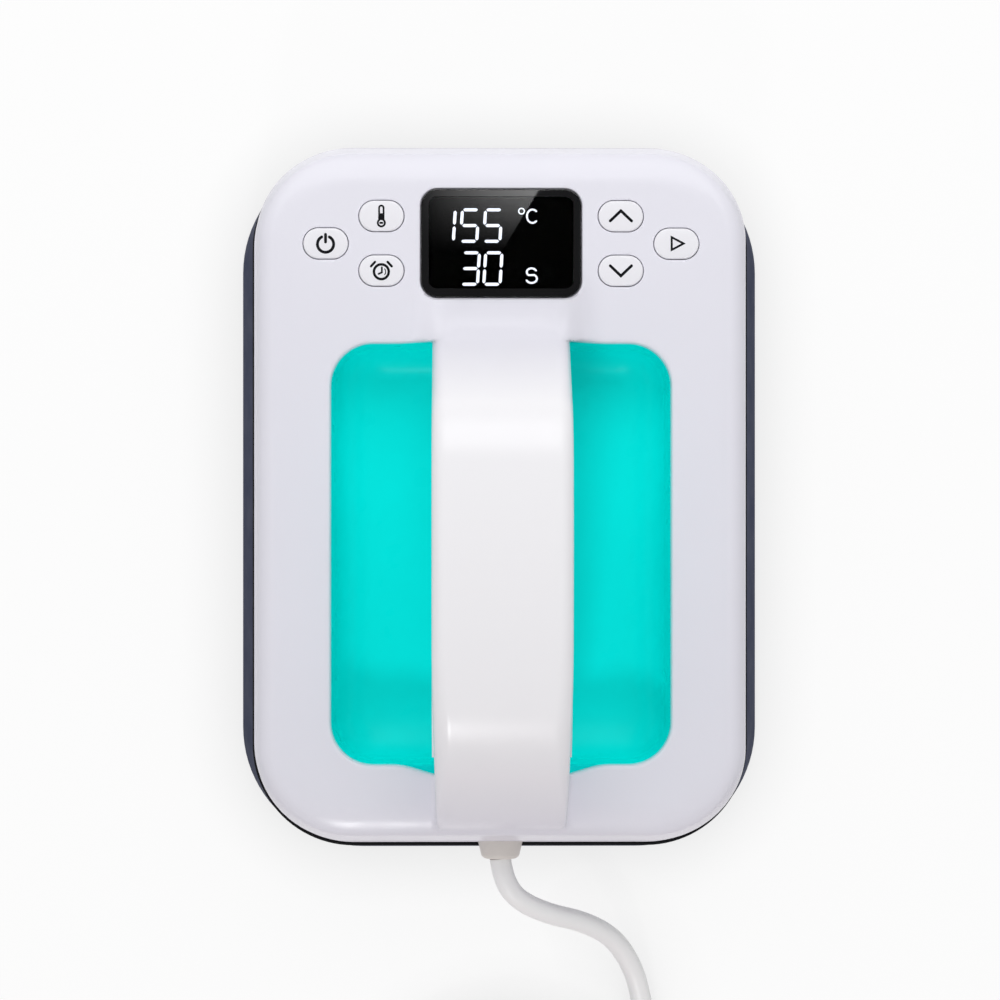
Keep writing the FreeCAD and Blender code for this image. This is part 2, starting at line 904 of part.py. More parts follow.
def handle_screws():
    screws = []
    for y in handle_screw_rows:
        seat = under_height_at(y) + small_head_height + 0.4
        screws.append(small_screw(0.0, y, seat, True, 8.0))
    return screws


# Tray in the grip recess

def tray():
    rim = recess_outline(tray_overlap)
    floor = outline(tray_floor_half_width, tray_floor_front, tray_floor_back, tray_floor_corner)
    hollow = tapered(floor, tray_floor, rim, lip_bottom)
    hollow = hollow.makeFillet(tray_floor_fillet, level_edges(hollow, tray_floor))
    bottom = tray_floor - tray_wall
    outer = tapered(grown(floor, tray_wall), bottom, grown(rim, tray_wall), lip_bottom)
    outer = outer.makeFillet(tray_floor_fillet + tray_wall, level_edges(outer, bottom))
    flange = slab(recess_outline(tray_flange), tray_flange_bottom, lip_bottom)
    result = joined(outer, flange).cut(hollow)
    for x, y in tray_screw_spots():
        result = result.cut(post(x, y, tray_flange_bottom, lip_bottom, small_screw_radius + 0.2))
    return result


def tray_screws():
    return [small_screw(x, y, tray_flange_bottom, True, 5.2) for x, y in tray_screw_spots()]


def case_screws():
    return [
        pan_screw(x, y, web_bottom, True, 13.0, case_screw_radius, case_head_radius, screw_head_height)
        for x, y in case_screw_spots()
    ]


# Display

def display_lens():
    lens = window_slab(lens_width, lens_length, lens_corner, lens_bottom, shell_top + lens_proud)
    return lens.makeFillet(0.3, level_edges(lens, shell_top + lens_proud))


def digit_bars(centre_x, centre_y, low, high):
    """Seven slanted bars of one digit."""
    half = digit_height / 2
    wide = digit_width / 2 - digit_stroke / 2
    tall = half - digit_stroke / 2
    gap = 0.12
    bars = []

    def lean(x, y):
        return vec(centre_x + x + y / half * digit_slant, centre_y + y, low)

    def bar(x_from, y_from, x_to, y_to):
        along = vec(x_to - x_from, y_to - y_from).normalize()
        across = vec(-along.y, along.x) * (digit_stroke / 2)
        tip = digit_stroke / 2
        start = vec(x_from, y_from) + along * gap
        end = vec(x_to, y_to) - along * gap
        corners = (
            start,
            start + along * tip + across,
            end - along * tip + across,
            end,
            end - along * tip - across,
            start + along * tip - across,
        )
        points = [lean(p.x, p.y) for p in corners]
        bars.append(Part.Face(Part.makePolygon([*points, points[0]])).extrude(UP * (high - low)))

    for y in (-tall, 0.0, tall):
        bar(-wide, y, wide, y)
    for x in (-wide, wide):
        bar(x, -tall, x, 0.0)
        bar(x, 0.0, x, tall)
    return bars


def display_segments(low, high):
    bars = []
    for row in (-1, 1):
        for column in (-1, 0, 1):
            x = digits_centre_x + column * digit_pitch
            bars += digit_bars(x, lens_centre_y + row * digit_row_gap / 2, low, high)
    return bars


def display_module():
    width = window_width - 2 * module_gap
    length = window_length - 2 * module_gap
    body = window_slab(width, length, window_corner, control_board_top, module_top)
    for bar in display_segments(module_top - digit_depth, module_top):
        body = body.cut(bar)
    return body


def control_board():
    shape = outline(control_board_half_width, control_board_front, control_board_back, board_corner)
    board = slab(shape, control_board_bottom, control_board_top)
    for x, y in both_sides(control_screw_x, control_screw_rows):
        board = board.cut(post(x, y, control_board_bottom, control_board_top, small_screw_radius + 0.2))
    return board


def control_board_screws():
    return [
        small_screw(x, y, control_board_bottom, True, 6.5)
        for x, y in both_sides(control_screw_x, control_screw_rows)
    ]


# Buttons

def button_cap(x, y):
    cap = oval_slab(x, y, button_length, button_width, button_flange_top, button_top)
    cap = cap.makeFillet(button_edge, level_edges(cap, button_top))
    flange_bottom = button_flange_top - button_flange_thickness
    grow = 2 * button_flange
    flange = oval_slab(x, y, button_length + grow, button_width + grow, flange_bottom, button_flange_top)
    stem = post(x, y, plunger_top, flange_bottom, button_stem_radius)
    return joined(cap, flange, stem)


def switch_plunger(x, y):
    return post(x, y, switch_top - plunger_depth, plunger_top, plunger_radius)


def switch_bodies():
    bodies = []
    half = switch_size / 2
    for x, y in button_spots().values():
        body = block(x - half, x + half, y - half, y + half, control_board_top, switch_top)
        well_bottom = switch_top - plunger_depth - button_travel - 0.2
        body = body.cut(post(x, y, well_bottom, switch_top, plunger_radius + running_gap))
        bodies.append(body)
    return bodies


# Power board and its parts

def power_board():
    shape = outline(power_board_half_width, power_board_front, power_board_back, board_corner)
    board = slab(shape, power_board_bottom, power_board_top)
    for x, y in power_screws:
        board = board.cut(post(x, y, power_board_bottom, power_board_top, small_screw_radius + 0.2))
    return board


def power_board_screws():
    return [small_screw(x, y, power_board_top, False, 5.0) for x, y in power_screws]


def on_board(x_low, x_high, y_low, y_high, height):
    return block(x_low, x_high, y_low, y_high, power_board_top, power_board_top + height)


def relay():
    body = on_board(-32.0, -4.0, 78.0, 88.5, 12.3)
    return body.makeFillet(0.6, level_edges(body, power_board_top + 12.3))


def transformer():
    core = on_board(-38.0, -24.0, 58.0, 62.0, 12.0)
    winding = on_board(-37.0, -25.0, 62.0, 68.0, 9.5)
    return joined(core, winding, on_board(-38.0, -24.0, 68.0, 72.0, 12.0))


def filter_capacitor():
    body = on_board(2.0, 20.0, 80.0, 88.5, 12.5)
    return body.makeFillet(0.8, level_edges(body, power_board_top + 12.5))


def smoothing_capacitors():
    cans = []
    for x in (-17.0, -7.5):
        can = post(x, 65.0, power_board_top, power_board_top + 12.5, 4.0)
        cans.append(can.makeFillet(0.6, level_edges(can, power_board_top + 12.5)))
    return cans


def mains_fuse():
    height = power_board_top + 4.0
    x = 30.0
    glass = rod(vec(x, 61.0, height), vec(x, 73.0, height), 2.3)
    caps = [rod(vec(x, y, height), vec(x, y + 4.0, height), 2.6) for y in (57.0, 73.0)]
    holders = [on_board(x - 3.0, x + 3.0, y + 1.0, y + 3.0, 3.0) for y in (57.0, 73.0)]
    clips = [joined(cap, holder) for cap, holder in zip(caps, holders)]
    return [glass, *clips]


def buzzer():
    body = post(12.0, 63.5, power_board_top, power_board_top + 8.5, 6.0)
    return body.cut(post(12.0, 63.5, power_board_top + 7.5, power_board_top + 8.5, 1.2))


def terminal_entries():
    """Where the mains wires enter the block, nearest the handle first."""
    first = terminal_block_front + terminal_side_wall
    return [first + terminal_pitch * index for index in range(3)]


def terminal_block():
    x_high = terminal_block_x + terminal_block_wide
    long = 2 * terminal_pitch + 2 * terminal_side_wall
    y_high = terminal_block_front + long
    body = on_board(terminal_block_x, x_high - 2.0, terminal_block_front, y_high, terminal_block_high)
    top = power_board_top + terminal_block_high
    middle = power_board_top + 4.0
    for y in terminal_entries():
        body = body.cut(rod(vec(x_high - 5.0, y, middle), vec(x_high, y, middle), wire_radius + 0.4))
        body = body.cut(post(terminal_block_x + 3.0, y, top - 3.0, top, 1.9))
    return body


def board_link():
    """Flat ribbon between the two boards, with a header on each."""
    x_low = -1.0
    x_high = 11.0
    y = 74.0
    low = power_board_top + 4.0
    high = control_board_bottom - 4.0
    ribbon = block(x_low, x_high, y - 0.5, y + 0.5, low, high)
    lower = block(x_low - 1.0, x_high + 1.0, y - 2.5, y + 2.5, power_board_top, low)
    upper = block(x_low - 1.0, x_high + 1.0, y - 2.5, y + 2.5, high, control_board_bottom)
    return [ribbon, lower, upper]


# Wires inside the body

def mains_wires():
    """Three cores from the cord's end, along the right side, to the terminal block."""
    names = ("earth_wire", "neutral_wire", "live_wire")
    low = web_top + wire_radius + 0.4
    block_height = power_board_top + 4.0
    block_face = terminal_block_x + terminal_block_wide - 2.0
    step = 2 * wire_radius + 0.7
    wires = {}
    for index, name in enumerate(names):
        x = (index - 1) * 2 * (wire_radius + 0.02)
        across_y = -76.4 + step * (2 - index)
        along_x = 57.2 + step * index
        entry_y = terminal_entries()[index]
        route = (
            (x, sheath_end, exit_height),
            (x, across_y, exit_height - 2.0),
            (26.0, across_y, low + 2.0),
            (along_x, across_y, low),
            (along_x, 36.0, low),
            (along_x, entry_y, block_height),
            (block_face - 2.6, entry_y, block_height),
        )
        path = rounded_path(route, radius=4.5)
        wires[name] = tube(path, wire_radius).cut(cord_sheath())
    return wires


def heater_leads():
    """From the element's studs to two tabs at the edge of the power board."""
    leads = []
    height = terminal_top + wire_radius
    for side in (-1, 1):
        x = side * terminal_x
        rest = power_board_top + wire_radius
        route = ((x, terminal_y, height), (x, 44.0, height), (x, 50.0, rest), (x, 55.0, rest))
        leads.append(tube(rounded_path(route, radius=4.0), wire_radius))
    return leads


def cord_sheath():
    return rod(vec(0, relief_inner_end, exit_height), vec(0, sheath_end, exit_height), cord_radius)


def cord_clamp():
    low = exit_height + clamp_gap / 2
    bar = block(-clamp_half_width, clamp_half_width, clamp_front, clamp_back, low, low + clamp_high)
    groove = rod(vec(0, clamp_front, exit_height), vec(0, clamp_back, exit_height), cord_radius + screw_gap)
    bar = bar.cut(groove)
    for side in (-1, 1):
        y = (clamp_front + clamp_back) / 2
        bar = bar.cut(post(side * clamp_screw_x, y, low, low + clamp_high, small_screw_radius + 0.1))
    return bar


def clamp_screws():
    y = (clamp_front + clamp_back) / 2
    seat = exit_height + clamp_gap / 2 + clamp_high
    return [small_screw(side * clamp_screw_x, y, seat, False, 12.0) for side in (-1, 1)]


# Strain relief, cord, coil and plug

def strain_relief():
    """A collar outside the wall, a neck through it and a flange behind it."""
    wall = shell_front + 0.5
    tip = shell_front - relief_length
    flange_share = (exit_height + relief_flange_radius - shell_bottom) / (shell_top - shell_bottom)
    flange_start = shell_front + shell_wall + shell_end_draft * flange_share + relief_gap
    collar = Part.makeCone(
        relief_radius, relief_tip_radius, wall - tip, vec(0, wall, exit_height), BACK * -1
    )
    rims = []
    for edge in collar.Edges:
        box = edge.BoundBox
        if abs(box.YMin - tip) < 1e-4 and abs(box.YMax - tip) < 1e-4:
            rims.append(edge)
    collar = collar.makeFillet(1.4, rims)
    collar = collar.cut(shell_body())
    neck = rod(vec(0, wall, exit_height), vec(0, relief_inner_end, exit_height), relief_inner_radius)
    flange_face = vec(0, flange_start, exit_height)
    flange = rod(flange_face, flange_face + BACK * relief_flange, relief_flange_radius)
    return joined(collar, neck, flange)


def half_turn(start, tangent, end, end_tangent):
    """Two arcs that join start and end and keep both directions."""
    chord = end - start
    total = tangent + end_tangent
    share = 2 * (1 - tangent.dot(end_tangent))
    reach = (-chord.dot(total) + math.sqrt(chord.dot(total) ** 2 + share * chord.dot(chord))) / share
    middle = (start + end + (tangent - end_tangent) * reach) * 0.5
    first = arc_between(start, tangent, middle)
    second = arc_between(middle, tangent_at_end(start, tangent, middle), end)
    return [first, second]


def tangent_at_end(start, tangent, end):
    """The direction in which the arc that leaves start along tangent arrives at end."""
    along = (end - start).normalize()
    return along * (2 * tangent.dot(along)) - tangent


def coil_spots():
    """Ends of each half turn: in on the lower layer, a climb, then out on the upper."""
    x, y = coil_centre
    radius = coil_outer_radius
    side = 1
    height = cord_radius
    spots = [(x + radius, y, height)]
    for step in range(coil_half_turns_in):
        radius -= coil_pitch / 2
        side = -side
        spots.append((x + side * radius, y, height))
    height += coil_layer_rise
    side = -side
    spots.append((x + side * radius, y, height))
    for step in range(coil_half_turns_out):
        radius += coil_pitch / 2
        side = -side
        spots.append((x + side * radius, y, height))
    return [vec(*spot) for spot in spots]


def coil_path():
    spots = coil_spots()
    lead = spots[0] + BACK * cord_end_run
    edges = [Part.LineSegment(lead, spots[0]).toShape()]
    heading = BACK * -1
    for start, end in zip(spots, spots[1:]):
        edges += half_turn(start, heading, end, heading * -1)
        heading = heading * -1
    edges.append(Part.LineSegment(spots[-1], spots[-1] + heading * cord_end_run).toShape())
    return Part.Wire(edges)


def least_gap(path, radius):
    """Least clear distance between turns of the path, measured on points along it."""
    spacing = radius / 2
    points = path.discretize(int(path.Length / spacing))
    skip = int(8 * radius / spacing)
    least = 1e9
    for index, point in enumerate(points):
        for other in points[index + skip:]:
            least = min(least, point.distanceToPoint(other))
    return least - 2 * radius


def plug_body():
    """Body lying on its flat side, cord entering from +X, pins pointing to -X."""
    x, y, z = tail_route[-1]
    boot_end = x - plug_boot_length
    back_x = boot_end
    shoulder_x = back_x - (plug_body_length - plug_face_length)
    face_x = back_x - plug_body_length

    def section(at_x, width, thick, corner):
        shape = outline(width / 2, -thick / 2, thick / 2, corner)
        wire = rounded_wire(shape, 0.0)
        wire.rotate(vec(0, 0, 0), RIGHT, 90)
        wire.rotate(vec(0, 0, 0), UP, 90)
        wire.translate(vec(at_x, y, z))
        return wire

    back = section(back_x, plug_back_width, plug_back_thick, plug_corner - 1.0)
    shoulder = section(shoulder_x, plug_face_width, plug_thick, plug_corner)
    face = section(face_x, plug_face_width, plug_thick, plug_corner)
    body = joined(Part.makeLoft([back, shoulder], True, True), Part.makeLoft([shoulder, face], True, True))
    boot = Part.makeCone(plug_boot_tip, plug_boot_radius, plug_boot_length, vec(x, y, z), RIGHT * -1)
    return joined(body, boot)


def plug_pins():
    x, y, z = tail_route[-1]
    face_x = x - plug_boot_length - plug_body_length
    places = (
        (-pin_spacing / 2, earth_pin_offset / 2),
        (pin_spacing / 2, earth_pin_offset / 2),
        (0.0, -earth_pin_offset / 2),
    )
    end_x = face_x - pin_length
    pins = []
    for across, up in places:
        root = vec(face_x + pin_root, y + across, z + up)
        pin = rod(root, vec(end_x, y + across, z + up), pin_radius)
        tip = [e for e in pin.Edges if abs(e.BoundBox.XMin - end_x) < 1e-4 and e.BoundBox.XLength < 1e-4]
        pins.append(pin.makeFillet(0.9, tip))
    return pins


# Writing the files

def save(name, shape):
    solids = shape if isinstance(shape, list) else shape.Solids
    solid = solids[0] if len(solids) == 1 else Part.Compound(solids)
    for piece in solids:
        if not piece.isValid() or piece.Volume <= 0:
            print("bad solid in", name)
    solid.exportStep(os.path.join("parts", name + ".step"))
    print(name, len(solids), "solids", round(sum(s.Volume for s in solids)), "mm3")


def main():
    os.makedirs("parts", exist_ok=True)
    save("skirt", skirt())
    save("seam_gasket", gasket())
    save("heating_plate", heating_plate())
    save("heating_element", heating_element())
    save("insulation_pad", insulation_pad())
    save("heat_shield", heat_shield())
    save("plate_screws", plate_screws())
    save("thermostat", thermostat())
    save("temperature_sensor", temperature_sensor())
    save("top_shell", top_shell())
    save("case_screws", case_screws())
    save("handle_cover", handle_cover())
    save("handle_screws", handle_screws())
    save("grip_tray", tray())
    save("tray_screws", tray_screws())
    save("display_lens", display_lens())
    save("display_module", display_module())
    save("display_segments", display_segments(module_top - digit_depth, module_top))
    save("control_board", control_board())
    save("control_board_screws", control_board_screws())
    save("switch_bodies", switch_bodies())
    for name, (x, y) in button_spots().items():
        save(name + "_button", button_cap(x, y))
        save(name + "_plunger", switch_plunger(x, y))
    save("power_board", power_board())
    save("power_board_screws", power_board_screws())
    save("relay", relay())
    save("transformer", transformer())
    save("filter_capacitor", filter_capacitor())
    save("smoothing_capacitors", smoothing_capacitors())
    save("mains_fuse", mains_fuse())
    save("buzzer", buzzer())
    save("terminal_block", terminal_block())
    save("board_link", board_link())
    for name, wire in mains_wires().items():
        save(name, wire)
    save("heater_leads", heater_leads())
    save("strain_relief", strain_relief())
    save("cord_sheath", cord_sheath())
    save("cord_clamp", cord_clamp())
    save("clamp_screws", clamp_screws())
    coil_start = (coil_centre[0] + coil_outer_radius, coil_centre[1] + cord_end_run, cord_radius)
    route = rounded_path((*cord_route, coil_start), "mains_cord")
    cord = tube(route, cord_radius)
    print_tube("mains_cord", cord, route, cord_radius)
    save("mains_cord", cord)
    turns = coil_path()
    coil = tube(turns, cord_radius)
    print_tube("cord_coil", coil, turns, cord_radius)
    print("cord_coil least gap", round(least_gap(turns, cord_radius), 2))
    save("cord_coil", coil)
    coil_end = coil_spots()[-1] - BACK * cord_end_run
    tail = rounded_path((coil_end, *tail_route), "cord_tail")
    cord_tail = tube(tail, cord_radius)
    print_tube("cord_tail", cord_tail, tail, cord_radius)
    save("cord_tail", cord_tail)
    print("whole cord", round(route.Length + turns.Length + tail.Length))
    save("plug_body", without(plug_body(), *plug_pins()))
    save("plug_pins", plug_pins())


main()
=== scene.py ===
import json
import math

import bmesh
import bpy
import numpy as np
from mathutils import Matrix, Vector


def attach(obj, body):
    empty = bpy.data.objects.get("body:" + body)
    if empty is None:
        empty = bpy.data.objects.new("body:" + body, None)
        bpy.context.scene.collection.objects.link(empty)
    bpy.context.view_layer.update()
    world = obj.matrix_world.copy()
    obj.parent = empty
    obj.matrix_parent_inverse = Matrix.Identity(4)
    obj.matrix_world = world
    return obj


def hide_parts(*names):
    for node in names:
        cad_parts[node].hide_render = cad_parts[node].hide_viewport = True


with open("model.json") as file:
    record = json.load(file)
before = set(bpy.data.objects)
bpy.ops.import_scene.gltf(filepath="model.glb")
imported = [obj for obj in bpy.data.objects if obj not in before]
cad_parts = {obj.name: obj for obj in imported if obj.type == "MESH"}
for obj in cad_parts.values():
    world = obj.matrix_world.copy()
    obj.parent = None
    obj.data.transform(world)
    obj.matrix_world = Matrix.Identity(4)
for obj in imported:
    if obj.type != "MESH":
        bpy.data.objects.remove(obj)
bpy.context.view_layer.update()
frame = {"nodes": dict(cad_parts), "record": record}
mm = 0.001  # pieces are sized in millimetres, and the studio round them in metres


# small helpers

def toLinear(hexColour):  # sRGB hex to linear, with alpha
    channels = [int(hexColour[i:i + 2], 16) / 255 for i in (1, 3, 5)]
    linear = [c / 12.92 if c <= 0.04045 else ((c + 0.055) / 1.055) ** 2.4 for c in channels]
    return (*linear, 1.0)


def addNode(tree, kind, inputs=None, **settings):  # a node, its settings, and its inputs as values or links
    node = tree.nodes.new(kind)
    for key, value in settings.items():
        setattr(node, key, value)
    for key, value in (inputs or {}).items():
        if isinstance(value, bpy.types.NodeSocket):
            tree.links.new(value, node.inputs[key])
        else:
            node.inputs[key].default_value = value
    return node


def newMaterial(name, values):  # a surface with fixed values on the shader's own sockets
    material = bpy.data.materials.new(name)
    material.use_nodes = True
    tree = material.node_tree
    shader = tree.nodes["Principled BSDF"]
    for key, value in values.items():
        shader.inputs[key].default_value = value
    return material, tree, shader


def linkSlot(tree, shader, slot, socket):
    tree.links.new(socket, shader.inputs[slot])


def newObject(name, data):  # an object that is in the scene
    thing = bpy.data.objects.new(name, data)
    bpy.context.collection.objects.link(thing)
    return thing


def meshPiece(name, points, faces, material, sharpAngle=35.0):  # points in mm
    data = bpy.data.meshes.new(name)
    data.from_pydata([tuple(c * mm for c in p) for p in points], [], faces)
    data.validate()
    data.materials.append(material)
    data.polygons.foreach_set("use_smooth", [True] * len(data.polygons))
    data.set_sharp_from_angle(angle=math.radians(sharpAngle))
    return newObject(name, data)


def roundedRing(halfX, front, back, corner, z, centreX=0.0, perCorner=14, perSide=4):
    ring = []  # one closed outline, anticlockwise from the front right corner
    corners = (
        (centreX + halfX - corner, front + corner, -90),
        (centreX + halfX - corner, back - corner, 0),
        (centreX - halfX + corner, back - corner, 90),
        (centreX - halfX + corner, front + corner, 180),
    )
    for index, (x, y, start) in enumerate(corners):
        for step in range(perCorner + 1):
            angle = math.radians(start + 90 * step / perCorner)
            ring.append((x + corner * math.cos(angle), y + corner * math.sin(angle), z))
        nextX, nextY, nextStart = corners[(index + 1) % 4]
        angle = math.radians(nextStart)
        end = (nextX + corner * math.cos(angle), nextY + corner * math.sin(angle), z)
        begin = ring[-1]
        for step in range(1, perSide):
            share = step / perSide
            ring.append(tuple(a + (b - a) * share for a, b in zip(begin, end)))
    return ring


def circleRing(radius, y, centre, count=40):  # an upright circle across the object's length
    ring = []
    for step in range(count):
        angle = 2 * math.pi * step / count
        ring.append((centre[0] + radius * math.cos(angle), y, centre[2] + radius * math.sin(angle)))
    return ring


def shrunkRing(ring, share=0.97):  # the same outline a little smaller, at the same height
    middle = [sum(p[i] for p in ring) / len(ring) for i in range(3)]
    return [tuple(m + (c - m) * share for c, m in zip(p, middle)) for p in ring]


def loft(name, rings, material, closeStart=True, closeEnd=True, sharpAngle=35.0):
    if closeStart:  # one more ring inside each flat end keeps its shading flat
        rings = [shrunkRing(rings[0])] + rings
    if closeEnd:
        rings = rings + [shrunkRing(rings[-1])]
    count = len(rings[0])
    points = [p for ring in rings for p in ring]
    faces = []
    for row in range(len(rings) - 1):
        for column in range(count):
            a = row * count + column
            b = row * count + (column + 1) % count
            faces.append((a, b, b + count, a + count))
    if closeStart:
        faces.append(tuple(reversed(range(count))))
    if closeEnd:
        faces.append(tuple(range((len(rings) - 1) * count, len(rings) * count)))
    return meshPiece(name, points, faces, material, sharpAngle)


def turnOutward(piece):
    shape = bmesh.new()
    shape.from_mesh(piece.data)
    bmesh.ops.recalc_face_normals(shape, faces=shape.faces)
    shape.to_mesh(piece.data)
    shape.free()
    return piece


def mergeDoubles(piece):
    shape = bmesh.new()
    shape.from_mesh(piece.data)
    bmesh.ops.remove_doubles(shape, verts=shape.verts, dist=1e-6)
    shape.to_mesh(piece.data)
    shape.free()


def applyModifiers(piece):
    graph = bpy.context.evaluated_depsgraph_get()
    data = bpy.data.meshes.new_from_object(piece.evaluated_get(graph))
    piece.modifiers.clear()
    piece.data = data
    return piece


def cutWith(piece, cutter):
    change = piece.modifiers.new("cut", "BOOLEAN")
    change.operation = "DIFFERENCE"
    change.object = cutter
    change.solver = "MANIFOLD"
    applyModifiers(piece)
    bpy.data.objects.remove(cutter)


# materials

def objectPoint(tree):  # place on the object, in metres
    return addNode(tree, "ShaderNodeTexCoord").outputs["Object"]


def grainBump(tree, shader, grain, depth):  # grain and depth in mm
    noise = addNode(tree, "ShaderNodeTexNoise", {"Vector": objectPoint(tree), "Scale": 1 / (grain * mm),
                                                 "Detail": 2.0, "Roughness": 0.55})
    bump = addNode(tree, "ShaderNodeBump", {"Height": noise.outputs["Fac"], "Strength": 1.0,
                                            "Distance": depth * mm})
    linkSlot(tree, shader, "Normal", bump.outputs["Normal"])


def tint(tree, shader, base, other, size):  # slow colour drift between two close colours, over a size in mm
    noise = addNode(tree, "ShaderNodeTexNoise", {"Vector": objectPoint(tree), "Scale": 1 / (size * mm),
                                                 "Detail": 2.0})
    ramp = addNode(tree, "ShaderNodeValToRGB", {"Fac": noise.outputs["Fac"]})
    ramp.color_ramp.elements[0].position = 0.25
    ramp.color_ramp.elements[1].position = 0.75
    ramp.color_ramp.elements[0].color = toLinear(base)
    ramp.color_ramp.elements[1].color = toLinear(other)
    linkSlot(tree, shader, "Base Color", ramp.outputs["Color"])
    return ramp


def roughnessDrift(tree, shader, low, high, size):  # slow change of gloss, over a size in mm
    noise = addNode(tree, "ShaderNodeTexNoise", {"Vector": objectPoint(tree), "Scale": 1 / (size * mm),
                                                 "Detail": 3.0})
    spread = addNode(tree, "ShaderNodeMapRange", {"Value": noise.outputs["Fac"], "From Min": 0.3,
                                                  "From Max": 0.7, "To Min": low, "To Max": high})
    linkSlot(tree, shader, "Roughness", spread.outputs["Result"])


plasticValues = {
    # name: colour, second colour, lowest and highest roughness, grain mm, grain depth mm
    "sparkErodedAbs": ("#e8e7f0", "#e6e5ee", 0.20, 0.27, 0.40, 0.012),  # shell: soft sheen on a fine grain
    "satinAbsCover": ("#ebeaf0", "#e8e7ee", 0.38, 0.46, 0.45, 0.006),  # handle cover: even satin
    "satinAbsButton": ("#eeedf2", "#ebeaf0", 0.32, 0.40, 0.40, 0.004),  # button caps: even satin
    "tealAbs": ("#00f9f3", "#00f5ef", 0.26, 0.34, 0.45, 0.010),  # recess tray: clear teal, hardly a gleam
    "glassFilledPbt": ("#2b3148", "#303750", 0.60, 0.72, 0.50, 0.012),  # skirt: matt and dry, dark slate
    "blackSilicone": ("#0b0b0d", "#101114", 0.55, 0.65, 0.80, 0.010),  # seal: dull black
    "pvcSheath": ("#fcfcfc", "#f9f9f9", 0.34, 0.42, 1.20, 0.008),  # lead: smooth white with a soft gleam
    "creamPvc": ("#e2ddd8", "#dcd6d0", 0.42, 0.50, 0.70, 0.010),  # strain relief: warm, slightly waxy
    "mouldedPvcPlug": ("#ececec", "#e7e7e8", 0.40, 0.48, 0.60, 0.012),  # plug: even satin
    "phenolicBlack": ("#2a2a2c", "#323133", 0.45, 0.55, 0.50, 0.010),  # thermostat and buzzer: dull black
    "naturalNylon": ("#d8d5cc", "#cfcbc0", 0.42, 0.52, 0.80, 0.008),  # cord clamp: milky and waxy
    "blackNylon": ("#1a1a1c", "#202023", 0.45, 0.55, 0.50, 0.008),  # switches: satin black
    "blueRelayCase": ("#2d5fae", "#28569f", 0.22, 0.30, 0.90, 0.004),  # relay: glossy blue
    "yellowTape": ("#c9a63a", "#bd9a31", 0.35, 0.50, 0.90, 0.015),  # transformer: wrapped tape with a sheen
    "yellowEpoxyBox": ("#d9b63c", "#cfab33", 0.25, 0.35, 0.70, 0.006),  # filter capacitor: glossy cast
    "blackSleeve": ("#232a3a", "#1d2330", 0.20, 0.30, 1.00, 0.006),  # smoothing capacitors: shrunk, glossy
    "greenNylon": ("#2f8f5b", "#2a8353", 0.40, 0.50, 0.60, 0.008),  # terminals: satin green
    "greyRibbonPvc": ("#b9bcc2", "#adb0b6", 0.40, 0.50, 1.27, 0.080),  # board link: ribs of a flat cable
    "greenYellowPvc": ("#6fae3a", "#d7c92c", 0.38, 0.46, 6.00, 0.008),  # earth wire: green and yellow bands
    "bluePvc": ("#2f68b8", "#2a5fab", 0.38, 0.46, 0.80, 0.008),  # neutral wire: satin blue
    "brownPvc": ("#6b4228", "#623c24", 0.38, 0.46, 0.80, 0.008),  # live wire: satin brown
    "glassBraid": ("#ecebe6", "#d8d6cd", 0.65, 0.80, 0.50, 0.080),  # heater leads: woven and matt
    "ceramicFelt": ("#e9e5da", "#ddd7c8", 0.85, 0.95, 0.90, 0.250),  # insulation: loose, dry fibres
}

# skins that mirror less than their clean plastic
dullSkin = {"tealAbs": 0.05, "glassFilledPbt": 0.08, "sparkErodedAbs": 0.24, "blackSilicone": 0.10}


def mouldedPlastic(name):  # moulded plastics: a dull skin, an even colour and a fine tool texture
    base, other, low, high, grain, depth = plasticValues[name]
    material, tree, shader = newMaterial(name, {"IOR": 1.5, "Specular IOR Level": dullSkin.get(name, 0.5)})
    tint(tree, shader, base, other, 40.0)
    roughnessDrift(tree, shader, low, high, 9.0)
    grainBump(tree, shader, grain, depth)
    return material


metalValues = {
    # name: colour, second colour, lowest and highest roughness, grain mm, grain depth mm
    "zincScrewSteel": ("#a9abae", "#c4c5c7", 0.25, 0.42, 0.35, 0.006),  # screws: greyish plating
    "galvanisedSheet": ("#b9bcc0", "#a4a8ad", 0.30, 0.50, 6.00, 0.010),  # heat shield: cloudy spangle
    "drawnHeaterSteel": ("#8d8a85", "#7a7470", 0.32, 0.50, 1.20, 0.008),  # heater sheath: streaked
    "nickelBrass": ("#cfc9b4", "#c2bba3", 0.16, 0.28, 0.60, 0.003),  # plug pins: bright and warm
    "sensorSteel": ("#b0b2b4", "#9d9fa1", 0.28, 0.40, 0.60, 0.006),  # sensor: clean, faintly worn
}


def platedMetal(name):  # plated and drawn metal: mirror-like, with a fine uneven skin
    base, other, low, high, grain, depth = metalValues[name]
    material, tree, shader = newMaterial(name, {"Metallic": 1.0})
    tint(tree, shader, base, other, 5.0)
    roughnessDrift(tree, shader, low, high, 2.0)
    grainBump(tree, shader, grain, depth)
    return material


coatedPlate = {"colour": "#3c3d40", "fleck": "#5a5b5f", "fleckSize": 0.9, "peel": 1.6, "peelDepth": 0.02}


